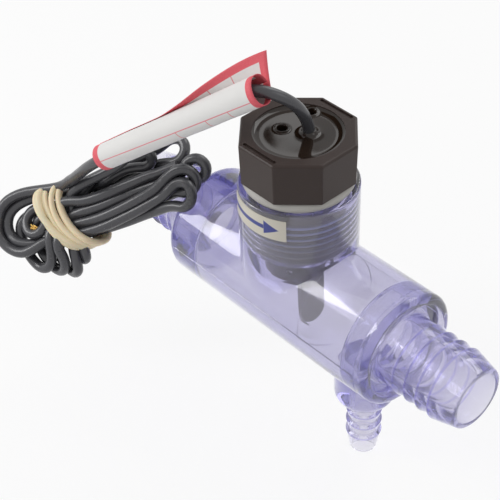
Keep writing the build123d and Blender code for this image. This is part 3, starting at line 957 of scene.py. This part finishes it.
@dataclass
class ClearCap:
    """The outlet cap: a plug in the tee's socket, a rimmed flange and the outlet barb."""

    palette: Palette
    barb: HoseBarb = field(default_factory=HoseBarb)
    body_r: float = 18.4
    plug_r: float = 15.55
    plug_x: float = 33.6
    bore_r: float = 12.85
    flange_x: float = 40.62
    front_x: float = 44.8
    floor_x: float = 42.6
    rim_width: float = 2.9
    web: float = 3.2
    passage_r: float = 8.1
    segments: int = 180

    def build(self) -> bpy.types.Object:
        """Builds the cap.

        Returns:
            The clear cap, dressed and riding on the switch's body.
        """
        barb = self.barb.outline(self.floor_x)
        corners = [(self.plug_x, self.bore_r), (self.plug_x, self.plug_r),
                   (self.flange_x, self.plug_r), (self.flange_x, self.body_r),
                   (self.front_x, self.body_r), (self.front_x, self.body_r - self.rim_width),
                   (self.floor_x, self.body_r - self.rim_width), *barb,
                   (self.barb.tip, self.passage_r), (self.floor_x - self.web, self.passage_r),
                   (self.floor_x - self.web, self.bore_r)]
        last = len(corners) - 1
        radii = {1: 0.3, 3: 0.14, 4: 2.0, 5: 0.35, 6: 0.6, 7: 1.3, last - 3: 0.7, last - 2: 0.3,
                 last - 1: 0.5, last: 0.8}
        cap = as_object("cap_clear", turned(rounded(corners, radii), Spin.RUN, self.segments,
                                            ring=True))
        mark_faces(cap, "weld", lambda at, r: (abs(r - self.plug_r) < 0.02
                                               and at.x > self.plug_x + 0.3)
                   or (abs(at.x - self.flange_x) < 0.02 and r > self.plug_r - 0.05))
        # Crest faces get the clear material's painted shade, a deeper violet.
        mark_faces(cap, "crest", lambda at, r: at.x > self.barb.first - self.barb.rise
                   and r > self.barb.crest_r - 0.09)
        self.palette.dress(finished(cap), CLEAR_PVC)
        return seat(cap, Ride.SWITCH, "clear_pvc", "outlet_cap")


@dataclass
class PlugDetails:
    """What the plug carries: its thread, and the cast potting with its meniscus and holes."""

    palette: Palette
    thread: Thread = field(default_factory=Thread)
    shank_inside_r: float = 13.2
    well_r: float = 13.2
    core_r: float = 9.5
    core_floor_z: float = 26.0
    well_floor_z: float = 50.0
    potting_z: float = 54.4
    meniscus: float = 0.72
    meniscus_reach: float = 0.75
    cable_at: Pair = (1.8, 2.6)
    cable_r: float = 1.75
    collar: float = 1.15
    vents: tuple[tuple[float, float, float], ...] = ((-5.0, -1.6, 1.55), (-4.8, 9.6, 1.45))
    vent_depth: float = 5.0
    lip: float = 0.42
    lip_out: float = 0.35
    lip_width: float = 0.42
    dip: float = 0.35
    dip_out: float = 0.25
    dip_reach: float = 0.5
    collar_reach: float = 0.75
    sag: float = 0.05

    def plug_thread(self) -> bpy.types.Object:
        """The plug's thread, as rings that lie in the riser's own."""
        flanks = self.thread.profile(self.thread.shank_root_r, self.thread.shank_crest_r)
        profile = [(self.thread.low_z - 0.1, self.shank_inside_r),
                   (self.thread.low_z - 0.1, self.thread.shank_root_r), *flanks,
                   (self.thread.high_z + 0.1, self.thread.shank_root_r),
                   (self.thread.high_z + 0.1, self.shank_inside_r)]
        made = as_object("plug_thread", turned(profile, Spin.RISER, 160, ring=True))
        # The thread's finish carries painted highlight rings and painted light bands.
        self.palette.dress(finished(made, 40.0), GLINT)
        return seat(made, Ride.SWITCH, "plug_plastic")

    def surface(self, x: float, y: float) -> float:
        """Height of the cast surface over its flat level.

        Args:
            x: Place across the plug.
            y: Place across the plug.

        Returns:
            The height, in millimetres.
        """
        out = self.well_r - math.hypot(x, y)
        height = self.meniscus * math.exp(-max(out, 0.0) / self.meniscus_reach)
        away = max(math.hypot(x - self.cable_at[0], y - self.cable_at[1]) - self.cable_r, 0.0)
        height += self.collar * math.exp(-(away / self.collar_reach) ** 1.3)
        for vent_x, vent_y, vent_r in self.vents:
            off = math.hypot(x - vent_x, y - vent_y) - vent_r
            height += self.lip * math.exp(-((off - self.lip_out) / self.lip_width) ** 2)
            if off < self.dip_out:
                height -= self.dip * min((self.dip_out - off) / self.dip_reach, 1.0) ** 2
        return height + self.sag * noise.noise(Vector((x * 0.10, y * 0.10, 0.7)))

    def potting(self) -> bpy.types.Object:
        """The cast resin: its core, and its glossy top with lipped holes."""
        rings = 84
        top = [(self.potting_z, self.well_r * (1 - (step / rings) ** 0.8))
               for step in range(rings + 1)]
        profile = [(self.core_floor_z, 0.0), (self.core_floor_z, self.core_r),
                   (self.well_floor_z, self.core_r), (self.well_floor_z, self.well_r), *top]
        bm = turned(profile, Spin.RISER, 200)
        for vert in bm.verts:
            if abs(vert.co.z - self.potting_z) < 0.01:
                vert.co.z += self.surface(vert.co.x, vert.co.y)
        made = as_object("potting_cast", bm)
        for vent_x, vent_y, vent_r in self.vents:
            hole = turned([(self.potting_z - self.vent_depth, 0.0),
                           (self.potting_z - self.vent_depth, vent_r * 0.8),
                           (self.potting_z - 0.2, vent_r), (self.potting_z + 2, vent_r * 1.15),
                           (self.potting_z + 2, 0.0)], Spin.RISER, 48, (vent_x, vent_y, 0))
            joined(made, as_object("hole", hole), Join.CUT)
        self.palette.dress(finished(made, 55.0), RESIN)
        return seat(made, Ride.SWITCH, "potting_resin", "potting")


@dataclass
class Hank:
    """The plane that the coiled lead lies in, and places on it as (along, across, off).

    The tie is the middle of the rubber band, as (along, across).
    """

    origin: Point = (-44.1, -1.1, 22.4)
    along: Point = (-0.6524, -0.6524, -0.3869)
    normal: Point = (0.312, -0.696, 0.647)
    tie: Pair = (46.6, 4.5)

    def place(self, u: float, v: float, w: float) -> Vector:
        """A point of the hank, in the row frame, in millimetres."""
        along = Vector(self.along).normalized()
        normal = Vector(self.normal)
        normal = (normal - along * normal.dot(along)).normalized()
        return Vector(self.origin) + along * u + normal.cross(along) * v + normal * w


@dataclass
class Settling:
    """Lets a drawn line take the bends and the room that a cable of its thickness needs.

    A step is the distance from one point to the next, and a chord is the least from one point
    to the next but one, which keeps folds open. The gap is the least between two strands. The
    first points, which leave the plug, and those under the band stay as they were drawn.
    """

    step: float = 3.4
    chord: float = 6.46
    gap: float = 3.45
    pull: float = 0.002
    rounds: int = 1100
    free_rounds: int = 250
    held: int = 28
    run_r: float = 20.3
    run_end_x: float = -42.2
    tie_half: float = 4.0
    parts: int = 12
    eager: float = 1.2

    def spread(self, points: Sequence[Vector]) -> np.ndarray:
        """Walks the smooth line through the points in even steps.

        Args:
            points: Control points of the drawn line, in millimetres.

        Returns:
            The new control points, one row each.
        """
        walked: list[Vector] = []
        last = len(points) - 1
        for at in range(1, last):
            start = points[0] if at == 1 else (points[at - 1] + points[at]) / 2
            end = points[last] if at == last - 1 else (points[at] + points[at + 1]) / 2
            walked += [start.lerp(points[at], t).lerp(points[at].lerp(end, t), t)
                       for t in (part / self.parts for part in range(self.parts))]
        line = np.array([*walked, points[last]])
        along = np.append(0.0, np.cumsum(np.linalg.norm(np.diff(line, axis=0), axis=1)))
        wanted = np.linspace(0.0, along[-1], round(along[-1] / self.step) + 1)
        return np.stack([np.interp(wanted, along, line[:, axis]) for axis in range(3)], axis=1)

    def settled(self, points: Sequence[Vector], tie: Vector, axis: Vector) -> list[Vector]:
        """Settles a line: steps keep their length, folds open up and strands lie side by side.

        Args:
            points: Control points of the drawn line, in millimetres.
            tie: Where a band holds the strands together.
            axis: The way that the strands go through the band.

        Returns:
            Control points of the settled line.
        """
        line = self.spread(points)
        drawn, count = line.copy(), len(line)
        loose = np.ones((count, 1))
        loose[:self.held] = loose[-3:] = 0.0
        loose[np.abs((line - np.array(tie)) @ np.array(axis)) < self.tie_half] = 0.0
        numbers = np.arange(count)
        pairs = np.triu(np.subtract.outer(numbers, numbers) < -3)
        for turn in range(self.rounds + self.free_rounds):
            apart = np.linalg.norm(line[:, None] - line[None], axis=2)
            close = np.nonzero(pairs & (apart < self.gap))
            move, hits = np.zeros_like(line), np.zeros((count, 1))
            for first, second, wanted, keeps_off in (
                    (numbers[:-1], numbers[1:], self.step, False),
                    (numbers[:-2], numbers[2:], self.chord, True),
                    (*close, self.gap, True)):
                way = line[second] - line[first]
                long = np.linalg.norm(way, axis=1, keepdims=True)
                excess = np.minimum(long - wanted, 0.0) if keeps_off else long - wanted
                share = way / long * excess / 2
                used = (np.abs(excess) > 1e-6).astype(float)
                for ends, sign in ((first, 1.0), (second, -1.0)):
                    np.add.at(move, ends, sign * share)
                    np.add.at(hits, ends, used)
            line += self.eager * move / np.maximum(hits, 1.0) * loose
            if turn < self.rounds:
                line += (drawn - line) * self.pull * loose
            off = np.hypot(line[:, 1], line[:, 2])
            near = (line[:, 0] > self.run_end_x) & (off < self.run_r) & (loose[:, 0] > 0)
            line[near, 1:] *= (self.run_r / off[near])[:, None]
        LOG.info("the cable's line moved by up to %.1f mm", np.abs(line - drawn).max())
        return [Vector(row) for row in line]


@dataclass
class Lead:
    """The switch's cable: out of the potting, through the tag, and wound into the hank."""

    palette: Palette
    hank: Hank = field(default_factory=Hank)
    settling: Settling = field(default_factory=Settling)
    cable_r: float = 1.75
    route: tuple[Point, ...] = (
        (1.8, 2.6, 53.6), (1.8, 2.6, 58.0), (1.4, -3.6, 68.6), (-7.0, -13.2, 73.6),
        (-20.5, -17.6, 59.6), (-38.5, -24.8, 44.6), (-56.2, -31.8, 31.4))
    turns: tuple[tuple[Point, ...], ...] = (
        # In under the band, and the outer loop at the left
        ((41.0, -5.4, 6.6), (47.0, -5.2, 2.6), (54.0, -6.6, 1.6), (61.5, -8.0, 1.6),
         (68.6, -6.8, 1.6), (73.0, -2.4, 1.4), (73.6, 3.6, 1.2), (71.0, 9.0, 1.2),
         (65.6, 11.8, 1.8), (59.4, 10.2, 2.6), (53.4, 9.6, 2.8), (47.0, 10.8, 2.0)),
        # Lowest strand, its end over the tee, and back behind
        ((40.0, 11.4, 2.2), (31.0, 10.5, 2.8), (20.0, 9.2, 3.9), (11.0, 8.2, 5.4),
         (4.0, 7.6, 6.8), (-0.4, 8.8, 7.7), (1.4, 10.8, 7.7), (8.0, 11.3, 6.2),
         (16.0, 11.3, 3.2), (24.0, 11.4, -0.6), (33.0, 11.4, -2.6), (40.0, 11.2, -2.8),
         (47.0, 10.8, -2.2)),
        # Left loop behind, and its fold under the band
        ((54.0, 5.0, -2.6), (60.0, -1.6, -2.6), (65.4, -2.2, -2.4), (67.4, 1.6, -2.4),
         (67.6, 7.8, -2.4), (66.2, 13.2, -1.8), (62.0, 18.0, -1.4), (58.2, 20.6, -0.4),
         (56.6, 18.6, 1.4), (55.6, 14.0, 2.4), (52.8, 9.0, 3.2), (47.0, 7.3, 2.0)),
        ((40.0, 8.4, 2.6), (31.0, 7.6, 3.4), (20.0, 6.5, 4.4), (9.0, 5.2, 5.6),
         (1.0, 4.5, 6.2), (-2.4, 5.9, 6.2), (0.4, 7.8, 5.6), (8.0, 8.4, 3.2),
         (20.0, 8.8, -1.4), (31.0, 8.4, -2.8), (40.0, 7.6, -2.6), (47.0, 7.3, -2.2)),
        ((53.0, 3.0, -3.0), (58.0, 0.8, -2.2), (62.4, 1.8, -2.2), (63.0, 8.6, -1.8),
         (60.8, 15.6, -2.4), (57.4, 19.6, -2.8), (54.4, 22.0, -1.6), (52.8, 20.4, 1.0),
         (52.2, 15.0, 2.3), (50.2, 8.4, 3.2), (47.0, 4.0, 2.2)),
        ((40.0, 5.2, 2.8), (31.0, 5.3, 3.4), (20.0, 4.6, 3.8), (9.0, 3.5, 4.4),
         (-1.0, 2.7, 5.0), (-5.6, 3.7, 5.0), (-3.2, 5.7, 4.0), (6.0, 6.4, 0.8),
         (18.0, 5.2, -2.6), (31.0, 4.6, -2.8), (40.0, 4.0, -2.6), (47.0, 3.8, -2.2)),
        ((52.0, 6.0, -3.4), (57.0, 9.0, -3.2), (58.4, 13.6, -3.6), (54.8, 18.6, -3.9),
         (50.8, 22.3, -2.4), (49.2, 21.0, 0.6), (48.8, 15.4, 2.0), (47.6, 8.0, 1.0),
         (45.0, -0.6, 0.2)),
        ((38.0, -3.2, -0.4), (28.0, -5.2, -1.2), (17.0, -6.8, -1.4), (8.0, -7.4, -1.0),
         (3.0, -6.8, -0.6), (0.8, -4.8, -0.2), (3.4, -3.2, 0.2), (10.0, -3.4, 0.2),
         (19.0, -2.6, -0.8), (31.0, -1.2, -2.2), (40.0, 0.4, -2.9), (47.0, 0.4, -2.9)),
        ((51.5, 5.0, -4.4), (54.4, 10.0, -5.0), (52.0, 15.0, -5.0), (48.0, 19.0, -3.2),
         (45.8, 19.4, -0.4), (45.2, 15.0, 1.4), (46.4, 8.0, 0.4), (46.0, 1.0, 1.4),
         (43.4, -3.2, 3.6)),
        ((38.0, -3.6, 5.4), (30.0, -4.2, 5.8), (22.0, -5.2, 6.0), (15.0, -6.1, 6.0),
         (10.6, -5.6, 5.4), (12.4, -3.9, 4.4), (20.0, -4.6, 2.4), (28.0, -4.2, 1.2),
         (35.0, -3.6, -1.2), (41.0, -3.2, -2.8), (48.0, -3.2, -3.0)),
        ((54.5, -5.0, -0.8), (61.5, -5.9, -0.2), (67.7, -4.6, 0.0), (70.7, -0.2, 0.0),
         (70.4, 5.2, 0.0), (66.4, 9.0, 0.4), (60.0, 9.0, -0.6), (54.0, 9.8, -1.4),
         (47.0, 10.0, -1.4), (42.5, 8.0, -1.0), (42.0, 4.4, -0.6), (46.0, 2.2, -0.8),
         (51.0, 0.8, -1.4), (56.6, -1.8, -1.4)),
        ((61.8, -1.2, -0.8), (64.4, 2.2, -0.4), (63.0, 6.2, 0.4), (59.0, 7.2, 1.6),
         (55.0, 4.4, 3.0), (51.6, 0.6, 3.6), (46.6, -0.6, 4.0),
         (40.0, 2.0, 4.4), (31.0, 2.4, 4.2), (20.0, 1.6, 4.2), (12.0, 0.8, 3.8),
         (6.4, 0.7, 3.4)))
    length: float = 1.03

    def points(self) -> list[Vector]:
        """The settled line's control points, in millimetres."""
        made = [Vector(point) for point in self.route]
        for turn in self.turns:
            made += [self.hank.place(*point) for point in turn]
        return self.settling.settled(made, self.hank.place(self.hank.tie[0], 0.0, 0.0),
                                     Vector(self.hank.along).normalized())

    def build(self) -> bpy.types.Object:
        """Builds the cable.

        Returns:
            The cable, a curve of one open spline.
        """
        made = tube("cable", self.points(), self.cable_r, 5, 4)
        made.data.use_fill_caps = True
        made.data.splines[0].use_endpoint_u = True
        self.palette.dress(made, JACKET)
        return seat(made, Ride.SWITCH, "cable_jacket", "cable_lead", "cable_hank")


@dataclass
class WireEnd:
    """A bared, twisted wire end of the cable."""

    palette: Palette
    name: str
    start: Vector
    end: Vector
    finish: Finish
    slot: str
    strand_r: float = 0.27
    twist_r: float = 0.36
    strands: int = 5
    steps: int = 12

    def build(self) -> bpy.types.Object:
        """Builds the strands as tubes twisted round the wire's line.

        Returns:
            The wire end.
        """
        line = self.end - self.start
        turn = line.normalized().to_track_quat("Z", "Y")
        bm = bmesh.new()
        for strand in range(self.strands):
            loops = []
            for step in range(self.steps + 1):
                share = step / self.steps
                angle = math.tau * (strand / self.strands + 0.7 * share)
                spread = self.twist_r * (1 + 0.9 * share ** 3)
                centre = self.start + line * share * (1 - 0.05 * (strand % 3)) + turn @ Vector(
                    (spread * math.cos(angle), spread * math.sin(angle), 0))
                ring = bmesh.ops.create_circle(bm, segments=8, radius=self.strand_r,
                                               matrix=Matrix.Translation(centre)
                                               @ turn.to_matrix().to_4x4(),
                                               cap_ends=step in (0, self.steps))["verts"]
                loops.append([e for e in {e for v in ring for e in v.link_edges}
                              if all(v in ring for v in e.verts)])
            for low, high in zip(loops, loops[1:]):
                bmesh.ops.bridge_loops(bm, edges=low + high)
        bmesh.ops.recalc_face_normals(bm, faces=bm.faces[:])
        made = as_object(self.name, bm)
        self.palette.dress(finished(made, 50.0), self.finish)
        return seat(made, Ride.SWITCH, self.slot)


@dataclass
class RubberBand:
    """One rubber band, wound several times round the hank so that its strands cross."""

    palette: Palette
    hank: Hank = field(default_factory=Hank)
    strand_r: float = 1.08
    laps: int = 6
    points_per_lap: int = 16
    lean: Pair = (3.6, 4.6)
    half_height: float = 11.0
    half_depth: float = 5.9
    spread: float = 2.64
    second_spread: float = 1.08
    lift: float = 0.7
    squareness: float = 0.6
    cross: float = 2.3
    swelling: float = 0.12

    def build(self) -> bpy.types.Object:
        """Builds the band as one closed spline of several laps.

        Returns:
            The band, a curve.
        """
        points, swell = [], []
        for number in range(self.laps * self.points_per_lap):
            lap = number / self.points_per_lap
            angle = math.tau * lap
            whole = math.tau * lap / self.laps
            shift = (self.spread * math.sin(2 * whole)
                     + self.second_spread * math.sin(3 * whole + 0.8))
            lift = self.lift * math.cos(3 * whole)
            tilt = self.lean[0] + self.cross * math.sin(2 * whole + 1.1)
            u = (self.hank.tie[0] + tilt * math.cos(angle)
                 + self.lean[1] * math.sin(angle) + shift)
            v = self.hank.tie[1] - (self.half_height + 0.3 * lift) * math.cos(angle)
            deep = math.sin(angle)
            w = (self.half_depth + 1.1 * lift) * math.copysign(abs(deep) ** self.squareness, deep)
            points.append(self.hank.place(u, v, w))
            swell.append(1.0 + self.swelling * math.sin(5.1 * lap))
        made = tube("band", points, self.strand_r, 4, 6)
        made.data.splines[0].use_cyclic_u = True
        made.data.splines[0].points.foreach_set("radius", swell)
        self.palette.dress(made, LATEX)
        return seat(made, Ride.SWITCH, "band_rubber", "rubber_band")


@dataclass
class PaperTag:
    """The paper tag: a sheet rolled round the lead, with one corner standing free."""

    palette: Palette
    start: Point = (-3.3, -10.6, 73.0)
    end: Point = (-52.6, -30.8, 34.4)
    roll_r: float = 4.2
    layer: float = 0.32
    wrap_deg: float = 322.0
    flap_rise: float = 10.8
    flap_share: float = 0.62
    ease: float = 3.6
    thickness: float = 0.14
    along_steps: int = 60
    around_steps: int = 72

    def build(self) -> bpy.types.Object:
        """Builds the rolled sheet, with its flat layout as a UV map.

        Returns:
            The tag.
        """
        start, end = Vector(self.start), Vector(self.end)
        axis = (end - start).normalized()
        back = axis.cross(Vector((0, 0, 1))).normalized()
        up = back.cross(axis)
        length = (end - start).length
        bm = bmesh.new()
        made = bmesh.ops.create_grid(bm, x_segments=self.along_steps,
                                     y_segments=self.around_steps, size=0.5,
                                     calc_uvs=False)["verts"]
        layout = bm.loops.layers.uv.new("sheet")
        flat = {vert: (vert.co.x + 0.5, vert.co.y + 0.5) for vert in made}
        for face in bm.faces:
            for loop in face.loops:
                loop[layout].uv = flat[loop.vert]
        for vert, (along, around) in flat.items():
            rise = self.flap_rise * max(0.0, 1 - along / self.flap_share)
            total = (math.radians(self.wrap_deg) * self.roll_r + self.flap_rise
                     - self.ease * along)
            sheet_at = around * total
            wrapped = min(sheet_at, total - rise)
            angle = wrapped / self.roll_r
            radius = self.roll_r - self.layer / 2 + self.layer * angle / math.tau
            squash = 1.0 + 0.05 * math.sin(2 * angle + 3 * along)
            ripple = 0.10 * noise.noise(Vector((along * 7, math.cos(angle), math.sin(angle))))
            place = (back * math.cos(angle) + up * math.sin(angle)) * (radius * squash + ripple)
            free = sheet_at - wrapped
            if free > 0:
                place += (up * math.cos(angle) - back * math.sin(angle)) * free
                place += back * 0.012 * free ** 2
            vert.co = start + axis * along * length + place
        tag = as_object("tag_sheet", bm)
        finished(tag, 60.0)
        self.palette.dress(tag, PAPER)
        solid = tag.modifiers.new("paper", "SOLIDIFY")
        solid.thickness = self.thickness * MM
        solid.offset = 0.0
        return seat(tag, Ride.SWITCH, "tag_paper", "paper_tag")


@dataclass
class CarriedParts:
    """CAD parts that keep their own shape and get their finish here."""

    palette: Palette
    finishes: dict[str, Finish] = field(default_factory=lambda: {
        "switch_plug": PLUG, "seal_ring": SEAL, "reed_glass": REED_GLASS,
        "reed_blade_front": REED, "reed_blade_back": REED, "splice_front": TINNED,
        "splice_back": TINNED, "conductor_front": INSULATION, "conductor_back": INSULATION,
        "return_magnet": PLATED, "pivot_pin": STEEL, "paddle": PADDLE,
        "paddle_magnet": PLATED, "magnet_cover": PADDLE, "arrow_label": FILM})

    def build(self) -> None:
        """Puts each finish into its node's material slots."""
        for name, finish in self.finishes.items():
            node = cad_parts[name]
            material = self.palette.get(finish)
            if not node.material_slots:
                node.data.materials.append(material)
            for slot in node.material_slots:
                slot.material = material
            LOG.info("%s keeps its shape and wears %s", name, finish.name)


@dataclass
class Studio:
    """Camera, floor, lamps and the plain white surroundings."""

    floor_z: float = -52.52
    eye: Point = (0.227437, -0.217471, 0.284902)
    right: Point = (0.6755, 0.7368, -0.0304)
    forward: Point = (-0.5698, 0.4953, -0.6557)
    lens: float = 99.62
    fill: float = 0.50
    flag_z: float = 300.0
    floor_glow: float = 0.84
    floor_paint: Colour = (0.92, 0.92, 0.92)
    aim: Point = (-0.01, -0.005, 0.02)

    def camera(self) -> None:
        """Sets the photograph's camera."""
        data = bpy.data.cameras.new("camera")
        data.lens = self.lens
        data.sensor_width = 36.0
        data.clip_start, data.clip_end = 0.01, 20.0
        made = bpy.data.objects.new("camera", data)
        bpy.context.scene.collection.objects.link(made)
        forward = Vector(self.forward).normalized()
        right = Vector(self.right)
        right = (right - forward * right.dot(forward)).normalized()
        turn = Matrix((right, right.cross(forward), -forward)).transposed()
        made.matrix_world = Matrix.Translation(self.eye) @ turn.to_4x4()
        bpy.context.scene.camera = made

    def lamp(self, name: str, towards: Point, away: float, size: Pair, power: float) -> None:
        """Adds one soft lamp that looks at the object.

        Args:
            name: Name of the lamp.
            towards: Direction from the object to the lamp.
            away: Distance, in metres.
            size: Width and height, in metres.
            power: Power, in watts.
        """
        data = bpy.data.lights.new(name, "AREA")
        data.shape = "RECTANGLE"
        data.size, data.size_y = size
        data.energy = power
        made = bpy.data.objects.new(name, data)
        direction = Vector(towards).normalized()
        made.location = Vector(self.aim) + direction * away
        made.rotation_mode = "QUATERNION"
        made.rotation_quaternion = direction.to_track_quat("Z", "Y")
        bpy.context.scene.collection.objects.link(made)

    def surroundings(self) -> None:
        """Makes the world white where it is looked at, and a plain fill light otherwise."""
        world = bpy.data.worlds.new("studio")
        bpy.context.scene.world = world
        world.use_nodes = True
        world.node_tree.nodes.clear()
        graph = Graph(world.node_tree)
        strength = graph.math("MULTIPLY_ADD", graph.looked(), 1.0 - self.fill, self.fill)
        light = graph.node("ShaderNodeBackground", Color=WHITE, Strength=strength)
        graph.node("ShaderNodeOutputWorld", Surface=light.outputs[0])

    def floor(self) -> None:
        """Lays a pale floor that reads as white and keeps the object's shadow."""
        bm = bmesh.new()
        bmesh.ops.create_grid(bm, x_segments=1, y_segments=1, size=3.0)
        bmesh.ops.translate(bm, verts=bm.verts[:], vec=(0, 0, self.floor_z * MM))
        made = as_object("floor", bm)
        material, graph = blank_material("pale_floor")
        paint = graph.node("ShaderNodeBsdfDiffuse", Color=self.floor_paint)
        glow = graph.node("ShaderNodeEmission", Color=WHITE, Strength=1.0)
        graph.node("ShaderNodeOutputMaterial", Surface=graph.blend(
            graph.product(graph.looked(), self.floor_glow), paint.outputs[0], glow.outputs[0]))
        made.data.materials.append(material)

    def flag(self, name: str, across: Pair, deep: Pair, glow: float) -> None:
        """Hangs a card over the switch that only shiny surfaces see.

        Args:
            name: Name of the card.
            across: Its ends along the picture's left to right, in millimetres.
            deep: Its ends along the picture's front to back, in millimetres.
            glow: How bright it looks, where 1 is white.
        """
        bm = bmesh.new()
        made = bmesh.ops.create_grid(bm, x_segments=1, y_segments=1, size=0.5)["verts"]
        bmesh.ops.scale(bm, verts=made, vec=(across[1] - across[0], deep[1] - deep[0], 1))
        bmesh.ops.translate(bm, verts=made, vec=(sum(across) / 2, sum(deep) / 2, self.flag_z))
        bmesh.ops.rotate(bm, verts=made, cent=(0, 0, 0), matrix=Matrix.Rotation(
            math.atan2(self.right[1], self.right[0]), 3, "Z"))
        bmesh.ops.scale(bm, verts=made, vec=(MM, MM, MM))
        card = as_object(name, bm)
        material, graph = blank_material(name)
        paint = graph.node("ShaderNodeEmission", Color=WHITE, Strength=glow)
        graph.node("ShaderNodeOutputMaterial", Surface=paint.outputs[0])
        card.data.materials.append(material)
        card.visible_camera = card.visible_diffuse = card.visible_shadow = False
        card.visible_transmission = card.visible_volume_scatter = False

    def build(self) -> None:
        """Sets up the whole studio."""
        bpy.context.scene.view_settings.view_transform = "Standard"
        self.camera()
        self.surroundings()
        self.floor()
        self.flag("flag_left", (-150.0, -5.5), (150.0, 560.0), 0.0)
        self.flag("flag_low", (-5.5, 70.0), (230.0, 320.0), 0.45)
        self.flag("card_window", (-5.5, 14.0), (320.0, 374.0), 2.3)
        self.lamp("softbox_front", (-0.60, -0.62, 0.50), 0.62, (0.18, 0.46), 1.7)
        self.lamp("softbox_back", (-0.10, 0.72, 0.75), 0.80, (0.40, 0.40), 1.3)
        self.lamp("softbox_right", (0.75, 0.30, 0.60), 0.80, (0.30, 0.30), 0.4)
        LOG.info("studio is set")


def main() -> None:
    logging.basicConfig(level=logging.INFO, format="%(name)s: %(message)s")
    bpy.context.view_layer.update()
    Studio().build()
    palette = Palette()
    lead = Lead(palette)
    cable = lead.build()
    hank = lead.hank
    tinned, bright = (
        WireEnd(palette, name, hank.place(*start), hank.place(*end), finish, "tinned_metal").build()
        for name, start, end, finish in (
            ("wire_end_tinned", (7.0, 0.95, 3.4), (1.4, 1.9, 3.2), TINNED),
            ("wire_end_bright", (56.6, 6.6, 1.6), (60.8, 3.8, 3.0), BRASS)))
    band = RubberBand(palette).build()
    tag = PaperTag(palette).build()
    ClearTee(palette).build()
    ClearCap(palette).build()
    plug = PlugDetails(palette)
    plug.plug_thread()
    plug.potting()
    CarriedParts(palette).build()


if __name__ == "__main__":
    main()
